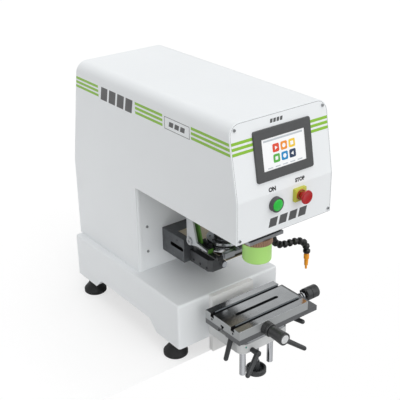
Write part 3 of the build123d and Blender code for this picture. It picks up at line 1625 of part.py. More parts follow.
# Nozzle: ball, clip ring and a stepped cone with a bore
with BuildPart() as nozzle:
    with BuildSketch(Plane.XZ):
        with BuildLine():
            Polyline(
                (nozzle_bore / 2, -nozzle_ball_cut),
                (math.sqrt((hose_ball_d / 2) ** 2 - nozzle_ball_cut**2), -nozzle_ball_cut),
                (hose_ball_d / 2, 0),
                (nozzle_d / 2, nozzle_flare),
                (nozzle_d / 2, nozzle_shoulder),
                (nozzle_d / 2 - nozzle_shoulder_inset, nozzle_shoulder + nozzle_flare),
                (nozzle_tip_d / 2 + nozzle_tip_step, nozzle_length - nozzle_tip),
                (nozzle_tip_d / 2, nozzle_length - nozzle_tip + nozzle_flare),
                (nozzle_tip_d / 2, nozzle_length),
                (nozzle_bore / 2, nozzle_length),
                close=True,
            )
        make_face()
    revolve(axis=Axis.Z)
save(hose_place(chain_end, 0) * nozzle.part, "nozzle")
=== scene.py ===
import math

import bmesh
import bpy
from mathutils import Matrix, Vector


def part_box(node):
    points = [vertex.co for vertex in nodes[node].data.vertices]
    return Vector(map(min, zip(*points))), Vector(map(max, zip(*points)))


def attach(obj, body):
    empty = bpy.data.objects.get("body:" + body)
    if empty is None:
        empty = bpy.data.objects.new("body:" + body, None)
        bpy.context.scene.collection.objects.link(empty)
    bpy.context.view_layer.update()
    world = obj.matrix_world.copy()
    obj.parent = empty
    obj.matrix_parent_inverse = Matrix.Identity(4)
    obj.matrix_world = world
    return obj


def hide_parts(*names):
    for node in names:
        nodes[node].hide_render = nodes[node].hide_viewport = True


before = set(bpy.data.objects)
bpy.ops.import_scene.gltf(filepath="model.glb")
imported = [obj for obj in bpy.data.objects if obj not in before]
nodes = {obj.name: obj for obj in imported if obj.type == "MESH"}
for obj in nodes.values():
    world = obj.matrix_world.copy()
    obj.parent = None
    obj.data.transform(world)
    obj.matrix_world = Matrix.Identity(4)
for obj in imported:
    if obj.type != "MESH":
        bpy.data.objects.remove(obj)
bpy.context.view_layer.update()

# Sizes that the looks share with the machine, metres
hood_bend = 0.452  # level where the front begins to lean
hood_top = 0.6025
hood_lean = 0.0267  # how far back the front lies at the top
rear_face = 0.617
rear_bend = 0.3515  # level where the back begins to lean
rear_lean = 0.0457  # how far forward the back lies at the top
side_face = 0.125
lean = math.atan2(hood_lean, hood_top - hood_bend)
film = 0.00012  # thickness of vinyl and print
skin = 0.0003  # how far behind a face the painted shade of its holes and slots begins
cover_rim = 0.0026  # bent rim of the wrap, back from its front edge
table_top = 0.145
table_end = 0.097  # half the table's length
table_sides = (0.0235, 0.137)
table_middle = 0.08025
slot_head = 0.0122
slot_neck = 0.0102  # wider than the solid's, as the photograph shows it
slot_neck_depth = 0.004
slot_middles = (0.04625, 0.11425)
centre_slot = 0.0088
centre_slot_end = 0.0600
centre_slot_depth = 0.006
end_hole_depth = 0.0125  # holes in the table's ends
saddle_end = 0.1252
bearing_rings = ((0.0022, 0.0038), (0.0086, 0.0112))  # out from the saddle's end
drive_bar_out = 0.054
yoke_bar_front = 0.174
yoke_strip_top = 0.2521
cross_bar_back = 0.160
cross_bar_end = 0.0455
cup_middle = 0.190
cup_base = 0.2473
cup_bright = ((0.0041, 0.0122), (0.0181, 0.0242))  # bright bands, up from the cup's base
cup_hole_levels = (0.0205, 0.02385)  # up from the cup's base
cup_flange_radius = 0.041
holder_side = 0.0573
holder_slot_run = (0.2688, 0.3182)
holder_slot_levels = (0.2151, 0.2249)
arm_face = 0.06425
boss_rise = 0.0016  # the arm's pivot boss, in the photograph flatter than in the solid
pivot_middle = (0.234, 0.261)
yoke_face = 0.05975
knob_cap = 0.0099  # radius of the pale cap of the table knob

# Camera, solved from the photograph's edges
camera_place = Vector((-1.0343, -1.0936, 1.1318))
camera_azimuth = math.radians(-36.98)
camera_elevation = math.radians(25.21)
camera_roll = math.radians(-0.953)
camera_lens = 76.25
camera_sensor = 36  # width, millimetres as the lens
camera_shift = (0.0005, 0.002)


def srgb(red, green, blue):
    """A colour given in 8-bit display values, as linear RGBA."""
    def linear(value):
        value /= 255
        return value / 12.92 if value <= 0.04045 else ((value + 0.055) / 1.055) ** 2.4
    return (linear(red), linear(green), linear(blue), 1.0)


def scaled(colour, factor):
    """A colour made darker or lighter."""
    return tuple(min(channel * factor, 1.0) for channel in colour[:3]) + (1.0,)


# Node helpers
def add_node(tree, kind, inputs=None, **settings):
    """Add a node to a tree, with each input set to a value or linked to an output."""
    made = tree.nodes.new("ShaderNode" + kind)
    for name, value in settings.items():
        setattr(made, name, value)
    for key, value in (inputs or {}).items():
        if hasattr(value, "is_output"):
            tree.links.new(value, made.inputs[key])
        else:
            made.inputs[key].default_value = value
    return made


class Surface:
    """A material under construction: a Principled shader and short ways to feed it."""

    def __init__(self, name, **fixed):
        self.material = bpy.data.materials.new(name)
        self.material.use_nodes = True
        self.tree = self.material.node_tree
        self.shader = self.tree.nodes["Principled BSDF"]
        for socket, value in fixed.items():
            self.shader.inputs[socket.replace("_", " ")].default_value = value

    def node(self, kind, inputs=None, **settings):
        """Add a node to the material."""
        return add_node(self.tree, kind, inputs, **settings)

    def place(self, stretch=(1, 1, 1)):
        """Coordinates on the part, in metres, stretched by axis."""
        where = self.node("TexCoord").outputs["Object"]
        return self.node("Mapping", {"Vector": where, "Scale": stretch}).outputs[0]

    def noise(self, size, detail=3.0, stretch=(1, 1, 1), rough=0.5):
        """Noise with features of about the given size in metres."""
        values = {"Vector": self.place(stretch), "Scale": 1 / size, "Detail": detail,
                  "Roughness": rough}
        return self.node("TexNoise", values).outputs[0]

    def spread(self, value, low, high, start=0.3, end=0.7):
        """Map a noise value onto a range."""
        values = {"Value": value, "From Min": start, "From Max": end, "To Min": low, "To Max": high}
        return self.node("MapRange", values).outputs[0]

    def mix(self, factor, first, second):
        """Blend of two colours."""
        return self.node("Mix", {0: factor, 6: first, 7: second}, data_type="RGBA").outputs[2]

    def shades(self, factor, colour, darker, lighter):
        """Blend of a darker and a lighter shade of one colour."""
        return self.mix(factor, scaled(colour, darker), scaled(colour, lighter))

    def maths(self, operation, first, second=0.0):
        """Result of one sum on numbers or node outputs."""
        return self.node("Math", {0: first, 1: second}, operation=operation).outputs[0]

    def along(self, axis):
        """One coordinate on the part, in metres."""
        return self.node("SeparateXYZ", {"Vector": self.place()}).outputs[axis]

    def band(self, axis, low, high, soft=0.0001):
        """1 between two levels of one axis, 0 outside."""
        place = self.along(axis)
        up = self.spread(place, 0, 1, low - soft, low + soft)
        down = self.spread(place, 1, 0, high - soft, high + soft)
        return self.maths("MULTIPLY", up, down)

    def both(self, *factors):
        """1 where all factors are 1."""
        result = factors[0]
        for factor in factors[1:]:
            result = self.maths("MULTIPLY", result, factor)
        return result

    def either(self, *factors):
        """1 where any factor is 1."""
        result = factors[0]
        for factor in factors[1:]:
            result = self.maths("MAXIMUM", result, factor)
        return result

    def paint(self, where, colour, **values):
        """Another colour, and other values of sockets, where a factor is 1."""
        before = self.shader.inputs["Base Color"].links[0].from_socket
        self.feed("Base Color", self.mix(where, before, colour))
        for socket, value in values.items():
            target = self.shader.inputs[socket]
            start = target.links[0].from_socket if target.is_linked else target.default_value
            self.feed(socket, self.node(
                "MapRange", {"Value": where, "To Min": start, "To Max": value}).outputs[0])

    def bump(self, height, depth):
        """Add relief of the given depth in metres."""
        values = {"Height": height, "Distance": depth, "Strength": 1.0}
        before = self.shader.inputs["Normal"]
        if before.is_linked:
            values["Normal"] = before.links[0].from_socket
        self.feed("Normal", self.node("Bump", values).outputs[0])

    def feed(self, socket, value):
        """Link an output to one of the shader's sockets."""
        self.tree.links.new(value, self.shader.inputs[socket])


def coated(name, colour, roughness=0.42, shade=0.03):
    """Powder coat: slow shade changes, a slightly uneven gloss and a fine orange peel."""
    peel, peel_depth = 0.0011, 0.00003
    made = Surface(name, IOR=1.5)
    slow = made.noise(0.16, 2)
    made.feed("Base Color", made.shades(slow, colour, 1 - shade, 1 + shade / 2))
    made.feed("Roughness", made.spread(made.noise(0.012, 4), roughness - 0.05, roughness + 0.07))
    made.bump(made.noise(peel, 2), peel_depth)
    return made


def moulded(name, colour, roughness, grain=0.0007, grain_depth=0.00004, shade=0.12, **fixed):
    """Moulded plastic or rubber: a fine matt texture with rubbed, glossier patches."""
    made = Surface(name, **fixed)
    patches = made.noise(0.02, 5)
    made.feed("Base Color", made.shades(patches, colour, 1 - shade, 1 + shade))
    made.feed("Roughness", made.spread(patches, roughness + 0.08, roughness - 0.08))
    made.bump(made.noise(grain, 3), grain_depth)
    return made


def machined(name, colour, roughness, streak, depth=0.000012, shade=0.1):
    """Ground or brushed metal: streaks along one axis, with uneven gloss and faint stains."""
    made = Surface(name, Metallic=1.0)
    lines = made.noise(0.02, 6, streak, 0.65)
    stains = made.noise(0.035, 4)
    tone = made.shades(lines, colour, 1 - shade, 1 + shade)
    made.feed("Base Color", made.mix(made.spread(stains, 0, 0.35), tone, scaled(colour, 0.7)))
    brushed = made.spread(lines, roughness - 0.06, roughness + 0.06)
    made.feed("Roughness", made.maths("ADD", brushed, made.spread(stains, 0, 0.07)))
    made.bump(lines, depth)
    return made


def blackened(name, colour, roughness=0.38):
    """Black oxide on milled steel: brownish patches, faint tool marks, lighter rubbed spots."""
    made = Surface(name, Metallic=0.35, IOR=1.6)
    patches = made.noise(0.018, 5)
    marks = made.noise(0.004, 3, (0.15, 3, 3))
    tone = made.shades(patches, colour, 0.75, 1.25)
    rubbed = made.spread(made.noise(0.006, 6), 0, 0.35, 0.6, 0.75)
    made.feed("Base Color", made.mix(rubbed, tone, scaled(colour, 2.2)))
    made.feed("Roughness", made.spread(patches, roughness + 0.1, roughness - 0.06))
    made.bump(marks, 0.00002)
    return made


def wooden(name, dark, light):
    """End-turned hardwood: growth rings across the disc, pores and a dull seal."""
    made = Surface(name, Coat_Weight=0.15, Coat_Roughness=0.35)
    rings = made.node(
        "TexWave",
        {"Vector": made.place((1, 0.35, 1)), "Scale": 95.0, "Distortion": 5.0, "Detail": 3.0,
         "Detail Scale": 1.4},
    ).outputs[1]
    pores = made.noise(0.0014, 4, (0.12, 1, 1))
    tone = made.mix(rings, dark, light)
    filled = made.spread(pores, 0, 0.5, 0.55, 0.75)
    made.feed("Base Color", made.mix(filled, tone, scaled(dark, 0.6)))
    made.feed("Roughness", made.spread(rings, 0.42, 0.58))
    made.bump(pores, 0.00008)
    return made


# Materials
coat_white = srgb(238, 241, 243)
leaf_green = srgb(140, 192, 54)
mark_grey = srgb(84, 85, 86)
bar_grey = srgb(186, 189, 192)
bar_green = srgb(86, 140, 52)
# near-black painted shade for the deep parts of the table's slots
painted_slot_shade = srgb(22, 25, 28)
seam_grey = moulded("seam_shade", srgb(118, 120, 122), 0.6, shade=0.05)
cap_grey = moulded("knob_cap_plastic", srgb(214, 216, 217), 0.35, 0.001, 0.00001, 0.03)
teal_mark = moulded("teal_mark_paint", srgb(24, 158, 132), 0.4, shade=0.04)
white_coat = coated("white_powder_coat", coat_white)
# painted shade: the bracket's white coat is made darker for the table's shadow on it
shaded_bracket_coat = coated("bracket_coat_with_painted_shade", srgb(218, 220, 220), 0.36)
# painted light: the mount plate's coat is made whiter than the covers' to stand in for light
# falling on it
painted_light_plate_coat = coated("mount_plate_painted_light", srgb(247, 247, 246), 0.36)
frame_coat = coated("grey_frame_paint", srgb(84, 86, 89), 0.5, 0.06)
box_coat = coated("grey_box_paint", srgb(176, 180, 184), 0.45, 0.05)
foot_rubber = moulded("foot_rubber", srgb(22, 23, 24), 0.62, 0.0009, 0.00006)
lever_black = moulded("lever_plastic", srgb(52, 54, 56), 0.42)
knob_black = moulded("knob_plastic", srgb(58, 59, 60), 0.34, 0.0005, 0.00002)
flange_black = moulded("flange_plastic", srgb(16, 17, 18), 0.3, 0.0006, 0.00002)
panel_black = moulded("panel_plastic", srgb(76, 77, 78), 0.5, 0.0005)
inlet_black = moulded("inlet_plastic", srgb(34, 35, 37), 0.45)
hose_black = moulded("hose_plastic", srgb(9, 10, 10), 0.36, 0.0012, 0.00003)
zinc = machined("zinc_steel", srgb(176, 178, 180), 0.3, (1, 1, 14), 0.00001)
steel_threads = machined("screw_steel", srgb(150, 152, 155), 0.28, (40, 40, 40))
chrome = machined("hard_chrome", srgb(212, 214, 218), 0.08, (8, 8, 1), 0.000003, 0.03)
aluminium = machined("machined_aluminium", srgb(196, 199, 203), 0.34, (1, 40, 40))
holder_aluminium = machined("holder_aluminium", srgb(168, 170, 173), 0.38, (1, 30, 30))
plate_steel = machined("printing_plate_steel", srgb(205, 192, 168), 0.3, (30, 1, 30), 0.000006,
                       0.05)
block_black = blackened("block_black_oxide", srgb(74, 76, 78))
plate_black = blackened("ram_plate_black", srgb(26, 27, 29), 0.3)
beech = wooden("pad_base_beech", srgb(124, 90, 68), srgb(168, 132, 104))
green_cap = moulded("green_button_cap", srgb(36, 190, 62), 0.3, 0.0016, 0.00002, 0.04,
                    Coat_Weight=0.3)
yellow_plate = moulded("yellow_stop_plate", srgb(190, 190, 66), 0.4, shade=0.05)
red_head = moulded("red_stop_head", srgb(174, 20, 28), 0.28, 0.0016, 0.00002, 0.05, Coat_Weight=0.4)
silicone = moulded("green_silicone", srgb(182, 235, 128), 0.38, 0.002, 0.00002, 0.025)
nozzle_orange = moulded("nozzle_plastic", srgb(246, 160, 28), 0.28, 0.0015, 0.00003, 0.06)
vinyl_green = moulded("green_vinyl", leaf_green, 0.36, 0.0012, 0.00001, 0.03)
vinyl_grey = moulded("grey_vinyl", mark_grey, 0.4, 0.0012, 0.00001, 0.04)
ink_black = moulded("panel_print", srgb(30, 30, 32), 0.5, shade=0.05)
screen_white = moulded("screen_face", srgb(252, 253, 254), 0.12, 0.004, 0.000004, 0.008)


def make_cover_coat():
    """Powder coat of the wrap, with a painted highlight: a lighter strip on the bent rim round the
    front panel.
    """
    made = coated("cover_powder_coat", coat_white)
    above_bend = made.maths("MAXIMUM", made.maths("SUBTRACT", made.along(2), hood_bend), 0.0)
    edge = made.maths("MULTIPLY", above_bend, math.tan(lean))
    behind_edge = made.maths("SUBTRACT", made.along(1), edge)
    blur = 0.0002
    rim = made.spread(behind_edge, 1, 0, cover_rim - blur, cover_rim + blur)
    # painted highlight: the bent rim is made lighter than the rest of the coat
    made.paint(rim, srgb(241, 245, 247))
    return made


def make_table_steel():
    """Ground steel: a bright top, duller sides, and painted shade in the slots and holes, dull grey
    on the slot necks' walls and near black deeper in.
    """
    made = machined("ground_table_steel", srgb(176, 179, 181), 0.12, (1, 40, 40), 0.000006, 0.06)
    sides = made.band(2, 0, table_top - 2 * skin)
    made.paint(sides, srgb(170, 173, 174), Metallic=0.35, Roughness=0.42)
    bright_edge = 0.0007  # the slots' upper edges stay bright
    inside = made.both(made.band(0, -table_end + skin, table_end - skin),
                       made.band(2, 0, table_top - bright_edge))
    slots = made.either(
        *(made.band(1, middle - slot_head / 2, middle + slot_head / 2) for middle in slot_middles)
    )
    past_wall = 0.0004
    centre_half = centre_slot / 2 + past_wall
    centre = made.both(made.band(1, table_middle - centre_half, table_middle + centre_half),
                       made.band(0, -centre_slot_end - past_wall, centre_slot_end + past_wall))
    # painted shade: near black in the middle slot, dull grey on the T-slots' neck walls, near black
    # in their heads
    made.paint(made.both(inside, centre), painted_slot_shade, Metallic=0.0)
    made.paint(made.both(inside, slots), srgb(142, 149, 154), Metallic=0.0, Roughness=0.45)
    heads = made.band(2, 0, table_top - slot_neck_depth + 0.0002)
    made.paint(made.both(inside, slots, heads), painted_slot_shade, Metallic=0.0)
    # painted shade in the holes in the table's ends
    holes = made.both(made.band(0, -table_end + skin, -table_end + end_hole_depth),
                      made.band(1, table_sides[0] + 0.001, table_sides[1] - 0.001))
    made.paint(made.both(inside, holes), srgb(16, 16, 18), Metallic=0.0)
    return made


def make_saddle_black():
    """Black oxide with a deep black bearing for the cross screw, and two bright rings on it."""
    made = blackened("saddle_black_oxide", srgb(96, 98, 100))
    made.paint(made.band(0, saddle_end, 1), srgb(22, 22, 24))
    rings = made.either(
        *(made.band(0, saddle_end + low, saddle_end + high) for low, high in bearing_rings)
    )
    made.paint(rings, srgb(196, 200, 203), Metallic=1.0)
    return made


def make_arm_grey():
    """Sheet aluminium plates outside, green painted drive bars between them."""
    made = machined("arm_aluminium", bar_grey, 0.42, (20, 1, 1), 0.00001, 0.05)
    made.paint(made.band(0, -drive_bar_out, drive_bar_out), bar_green, Metallic=0.0)
    return made


def make_yoke_black():
    """Black side bars with green front ends, and a plain aluminium cross bar."""
    made = blackened("yoke_black_oxide", srgb(40, 41, 43), 0.3)
    front_ends = made.both(made.band(1, yoke_bar_front - 0.001, yoke_bar_front + 0.0004),
                           made.band(2, yoke_strip_top, 1))
    made.paint(front_ends, bar_green, Metallic=0.0)
    cross_bar = made.both(made.band(1, 0, cross_bar_back),
                          made.band(0, -cross_bar_end, cross_bar_end))
    made.paint(cross_bar, bar_grey, Metallic=1.0, Roughness=0.36)
    return made


def make_cup_black():
    """Black plastic body with a bright outer ring and a bright drilled flange, with painted shade
    inside its holes.
    """
    made = moulded("cup_plastic", srgb(24, 25, 27), 0.2)
    bright = made.either(
        *(made.band(2, cup_base + low, cup_base + high) for low, high in cup_bright)
    )
    made.paint(bright, srgb(206, 209, 212), Metallic=1.0)
    holes = made.band(2, cup_base + cup_hole_levels[0], cup_base + cup_hole_levels[1])
    across = made.maths("POWER", made.along(0), 2.0)
    along = made.maths("POWER", made.maths("SUBTRACT", made.along(1), cup_middle), 2.0)
    radius = made.maths("SQRT", made.maths("ADD", across, along))
    inner = made.spread(radius, 1, 0, cup_flange_radius - 0.0004, cup_flange_radius - 0.0002)
    # painted shade inside the flange's holes
    made.paint(made.both(holes, inner), srgb(14, 14, 15), Metallic=0.0)
    return made


def make_holder_black():
    """Black oxide block whose side slots are in deep shade."""
    made = blackened("holder_black_oxide", srgb(84, 87, 90))
    slot = made.both(made.band(0, -holder_side + skin, holder_side - skin),
                     made.band(1, *holder_slot_run), made.band(2, *holder_slot_levels))
    made.paint(slot, srgb(12, 12, 13))
    return made


def make_knob_metal():
    """Dark anodised metal of the cross knob, with turning marks."""
    made = machined("knob_dark_metal", srgb(72, 74, 75), 0.36, (60, 1, 1), 0.00001, 0.08)
    made.shader.inputs["Metallic"].default_value = 0.6
    return made


cover_coat = make_cover_coat()
knob_metal = make_knob_metal()
ground_steel = make_table_steel()
saddle_black = make_saddle_black()
arm_aluminium = make_arm_grey()
yoke_black = make_yoke_black()
cup_black = make_cup_black()
holder_black = make_holder_black()

node_materials = {
    white_coat: ["base_housing", "front_panel", "rear_cover", "column_cover"],
    cover_coat: ["main_cover"],
    shaded_bracket_coat: ["table_bracket"],
    painted_light_plate_coat: ["table_mount_plate"],
    frame_coat: ["base_bottom_plate", "frame_side_plates", "mast_plate", "front_tie_plate"],
    box_coat: ["control_box"],
    foot_rubber: ["rubber_feet"],
    zinc: ["foot_studs", "cover_screws", "air_inlet"],
    steel_threads: ["lift_spindle", "x_screw", "y_screw"],
    chrome: ["carriage_rods", "ram_rods", "shuttle_rod", "guide_columns", "plate_knob"],
    aluminium: ["carriage", "ram_cylinder", "shuttle_cylinder", "lift_block", "valve_block"],
    arm_aluminium: ["cup_arm"],
    yoke_black: ["cup_yoke"],
    holder_aluminium: ["pad_holder"],
    ground_steel: ["table_plate"],
    plate_steel: ["printing_plate"],
    holder_black: ["plate_holder_block"],
    block_black: ["ink_support_block", "plate_tray"],
    plate_black: ["ram_plate"],
    saddle_black: ["saddle"],
    lever_black: ["bracket_lever_left", "bracket_lever_right", "lock_lever_left",
                  "lock_lever_right", "lift_handwheel"],
    knob_metal: ["x_knob"],
    knob_black: ["y_knob"],
    panel_black: ["touch_panel", "start_button_ring"],
    inlet_black: ["mains_inlet"],
    screen_white: ["touch_screen"],
    green_cap: ["start_button"],
    yellow_plate: ["stop_plate"],
    red_head: ["stop_knob", "stop_stem"],
    silicone: ["printing_pad"],
    beech: ["pad_base"],
    hose_black: ["hose_links", "hose_drop"],
    nozzle_orange: ["nozzle"],
    cup_black: ["ink_cup"],
}


def dress(data, surface):
    """Give a mesh one material."""
    data.materials.clear()
    data.materials.append(surface.material)


for surface, names in node_materials.items():
    for name in names:
        dress(nodes[name].data, surface)


# Piece helpers
def facing(origin, right, up):
    """A matrix whose x is right, y is up and z points out of the face."""
    right, up = Vector(right).normalized(), Vector(up).normalized()
    matrix = Matrix((right, up, right.cross(up))).transposed().to_4x4()
    matrix.translation = Vector(origin)
    return matrix


def move(x, y, z=0.0):
    """A plain shift."""
    return Matrix.Translation((x, y, z))


left_side = facing((-side_face, 0, 0), (0, -1, 0), (0, 0, 1))
right_side = facing((side_face, 0, 0), (0, 1, 0), (0, 0, 1))
front_face = facing((0, 0, 0), (1, 0, 0), (0, 0, 1))
leaning_face = facing((0, 0, hood_bend), (1, 0, 0), (0, math.sin(lean), math.cos(lean)))


def linked(name, data):
    """A new object of the scene, made of the data."""
    made = bpy.data.objects.new(name, data)
    bpy.context.scene.collection.objects.link(made)
    return made


def mesh_data(name, mesh):
    """Turn a bmesh into the data of an object."""
    data = bpy.data.meshes.new(name)
    mesh.to_mesh(data)
    mesh.free()
    return data


def evaluated_mesh(draft):
    """The mesh that a draft object shows; the draft is taken away."""
    bpy.context.view_layer.update()
    graph = bpy.context.evaluated_depsgraph_get()
    data = bpy.data.meshes.new_from_object(draft.evaluated_get(graph))
    bpy.data.objects.remove(draft)
    return data


def finished(name, mesh, surface, body, smooth=0.6):
    """Link a bmesh as a piece that rides on a body; edges flatter than smooth are shaded round."""
    bmesh.ops.recalc_face_normals(mesh, faces=mesh.faces)
    data = mesh_data(name, mesh)
    dress(data, surface)
    data.shade_smooth()
    data.set_sharp_from_angle(angle=smooth)
    piece = linked(name, data)
    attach(piece, body)
    return piece


def add_loop(mesh, outline, place, level):
    """Add the vertices of an outline, in the place's x and y, at a level of its z."""
    return [mesh.verts.new(place @ Vector((x, y, level))) for x, y in outline]


def add_walls(mesh, loops):
    """Add faces between each loop of vertices and the next, of as many vertices."""
    for first, second in zip(loops, loops[1:]):
        for i in range(len(first)):
            j = (i + 1) % len(first)
            mesh.faces.new((first[i], first[j], second[j], second[i]))


def add_layers(mesh, layers, place):
    """Add a closed solid through layers, each a level and an outline of as many points."""
    loops = [add_loop(mesh, outline, place, level) for level, outline in layers]
    mesh.faces.new(loops[0])
    mesh.faces.new(loops[-1])
    add_walls(mesh, loops)


def add_slab(mesh, outline, place, low=0.0, high=film):
    """Add a flat shape between two levels."""
    add_layers(mesh, [(low, outline), (high, outline)], place)


def rounded(width, height, radius, steps=5, at=(0, 0)):
    """Outline of a rectangle with round corners."""
    points = []
    for corner in range(4):
        sx, sy = ((1, 1), (-1, 1), (-1, -1), (1, -1))[corner]
        for step in range(steps + 1):
            turn = math.radians(90 * (corner + step / steps))
            points.append((
                at[0] + sx * (width / 2 - radius) + radius * math.cos(turn),
                at[1] + sy * (height / 2 - radius) + radius * math.sin(turn),
            ))
    return points


def disc(radius, steps, at=(0, 0), start=0.0):
    """Outline of a circle or, with few steps, a polygon."""
    return [
        (at[0] + radius * math.cos(start + math.tau * i / steps),
         at[1] + radius * math.sin(start + math.tau * i / steps))
        for i in range(steps)
    ]


def lobed(radius, reach, count, start):
    """Outline of a star knob: round lobes joined by hollows."""
    steps = 12
    points = []
    for step in range(count * steps):
        turn = start + math.tau * step / (count * steps)
        swell = 0.5 + 0.5 * math.cos(count * (turn - start))
        far = radius + reach * swell ** 1.6
        points.append((far * math.cos(turn), far * math.sin(turn)))
    return points


def add_turned(mesh, profile, place, steps=48):
    """Add a solid of revolution about the place's z; profile is (radius, height) pairs."""
    rings = [
        add_loop(mesh, disc(radius, steps) if radius else [(0, 0)], place, height)
        for radius, height in profile
    ]
    for below, above in zip(rings, rings[1:]):
        for i in range(steps):
            j = (i + 1) % steps
            corners = [below[i % len(below)], below[j % len(below)],
                       above[j % len(above)], above[i % len(above)]]
            unique = list(dict.fromkeys(corners))
            if len(unique) > 2:
                mesh.faces.new(unique)


def add_ring(mesh, profile, place, steps=48):
    """Add a solid of revolution with a bore; the profile closes on itself."""
    add_turned(mesh, profile + profile[:1], place, steps)
    same_point = 0.000001
    bmesh.ops.remove_doubles(mesh, verts=mesh.verts, dist=same_point)


def add_washer(mesh, place, bore, radius, height):
    """Add a flat ring that lies on a face."""
    corners = ((radius, 0), (radius, height), (bore, height), (bore, 0))
    loops = [add_loop(mesh, disc(r, 36), place, level) for r, level in corners]
    add_walls(mesh, loops + loops[:1])


def add_screw(mesh, place, head, height, socket, dome=0.25):
    """Add a round screw head with a hexagon socket; z points out of the face."""
    sides = 24
    hexagon = []
    for i in range(sides):
        turn = math.tau * i / sides
        across = math.cos((turn % (math.tau / 6)) - math.tau / 12)
        reach = socket / 2 / across
        hexagon.append((reach * math.cos(turn), reach * math.sin(turn)))
    outside = ((1, 0), (1, 1 - dome), (0.86, 0.97), (0.7, 1))  # shares of radius and height
    socket_floor = 0.35  # share of height
    layers = [(height * up, disc(head / 2 * wide, sides)) for wide, up in outside]
    layers += [(height, hexagon), (height * socket_floor, hexagon)]
    add_layers(mesh, layers, place)


# Stripes and plain marks on the covers
stripe_levels = (0.565, 0.555, 0.545)
stripe_width = 0.0058
stripe_runs = ((None, 0.4815), (0.334, 0.2345), (0.139, None))  # None is the cover's edge
stripe_rear_gap = 0.0012
front_stripe_end = 0.1222
screen_edges = (-0.072, 0.074)


def hood_edge(level, back=False):
    """How far back the cover's front or rear edge lies at a level."""
    if back:
        return rear_face - rear_lean * (level - rear_bend) / (hood_top - rear_bend)
    return hood_lean * ((level - hood_bend) / (hood_top - hood_bend))


def stripe_end(y, level, back=False):
    """Where a stripe ends at a level; None stands for the cover's edge."""
    if y is not None:
        return y
    if back:
        return hood_edge(level, back=True) - stripe_rear_gap
    return hood_edge(level) + cover_rim


def make_side_stripes(name, side, sign):
    """Three stripes in three runs on one side of the hood; sign turns y into the side's x."""
    mesh = bmesh.new()
    for level in stripe_levels:
        low, high = level - stripe_width / 2, level + stripe_width / 2
        for rear_end, front_end in stripe_runs:
            corners = [
                (stripe_end(rear_end, low, back=True), low), (stripe_end(front_end, low), low),
                (stripe_end(front_end, high), high), (stripe_end(rear_end, high, back=True), high),
            ]
            add_slab(mesh, [(sign * y, z) for y, z in corners], side)
    finished(name, mesh, vinyl_green, "machine")


make_side_stripes("stripes_left", left_side, -1)
make_side_stripes("stripes_right", right_side, 1)

mesh = bmesh.new()
for level in stripe_levels:
    up = (level - hood_bend) / math.cos(lean)
    for low, high in ((-front_stripe_end, screen_edges[0]), (screen_edges[1], front_stripe_end)):
        centre = ((low + high) / 2, up)
        add_slab(mesh, rounded(high - low, stripe_width, 0.0002, 1, centre), leaning_face)
finished("stripes_front", mesh, vinyl_green, "machine")

# Rows of plain bars in place of marks: count, width, height, gap, slant
side_bars = (4, 0.026, 0.030, 0.007, 0.006)
frame_bars = (3, 0.014, 0.0105, 0.005, 0.0025)
front_bars = (4, 0.020, 0.019, 0.006, 0.0045)
panel_bars = (4, 0.0062, 0.0075, 0.0022, 0.0018)
side_bars_at, side_bars_shift = (0.4078, 0.5535), 0.003  # shifted by about half their slant
frame_bars_at, frame_bars_shift = (0.1858, 0.553), 0.001
mark_frame_at = (0.1855, 0.553)
mark_frame_size = (0.083, 0.025)
mark_frame_line = 0.0011


def slanted_bars(count, width, height, gap, slant, at):
    """Outlines of a row of slanted bars round a centre."""
    pitch = width + gap
    start = at[0] - (count * pitch - gap) / 2
    outlines = []
    for i in range(count):
        x = start + i * pitch
        low, high = at[1] - height / 2, at[1] + height / 2
        outlines.append([(x, low), (x + width, low), (x + width + slant, high), (x + slant, high)])
    return outlines


def make_bars(name, place, *rows):
    """Plain grey bars where a mark would be."""
    mesh = bmesh.new()
    for row in rows:
        for outline in slanted_bars(*row):
            add_slab(mesh, outline, place)
    finished(name, mesh, vinyl_grey, "machine")


for name, side, sign in (("left", left_side, -1), ("right", right_side, 1)):
    make_bars(
        "mark_" + name, side,
        (*side_bars, (sign * side_bars_at[0] - side_bars_shift, side_bars_at[1])),
        (*frame_bars, (sign * frame_bars_at[0] - frame_bars_shift, frame_bars_at[1])),
    )
    mesh = bmesh.new()
    wide, high = mark_frame_size
    level_line = (wide + mark_frame_line, mark_frame_line)
    upright_line = (mark_frame_line, high)
    for dx, dy, line in (
        (0, high / 2, level_line), (0, -high / 2, level_line),
        (wide / 2, 0, upright_line), (-wide / 2, 0, upright_line),
    ):
        at = (sign * mark_frame_at[0] + dx, mark_frame_at[1] + dy)
        add_slab(mesh, rounded(*line, 0.0003, 2, at), side)
    finished("mark_frame_" + name, mesh, vinyl_grey, "machine")
make_bars("mark_front", front_face, (*front_bars, (0.0045, 0.3885)))
make_bars("mark_panel_top", leaning_face, (*panel_bars, (-0.010, 0.1385)))

# Lettering by the two buttons
capital_share = 0.72  # height of a capital letter over the size of its font
stroke_growth = 0.08  # how much bolder than the font, over the letter's height


def make_word(name, words, height, place):
    """A word printed on the panel, centred on the place."""
    curve = bpy.data.curves.new(name, "FONT")
    curve.body = words
    curve.size = height / capital_share
    curve.align_x = "CENTER"
    curve.align_y = "CENTER"
    curve.extrude = film / 2
    curve.offset = height * stroke_growth
    data = evaluated_mesh(linked(name + "_draft", curve))
    data.transform(place)
    data.name = name
    dress(data, ink_black)
    piece = linked(name, data)
    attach(piece, "machine")


make_word("word_on", "ON", 0.0083, leaning_face @ move(-0.0357, 0.0070, film / 2))
make_word("word_stop", "STOP", 0.0074, leaning_face @ move(0.0366, 0.0083, film / 2))

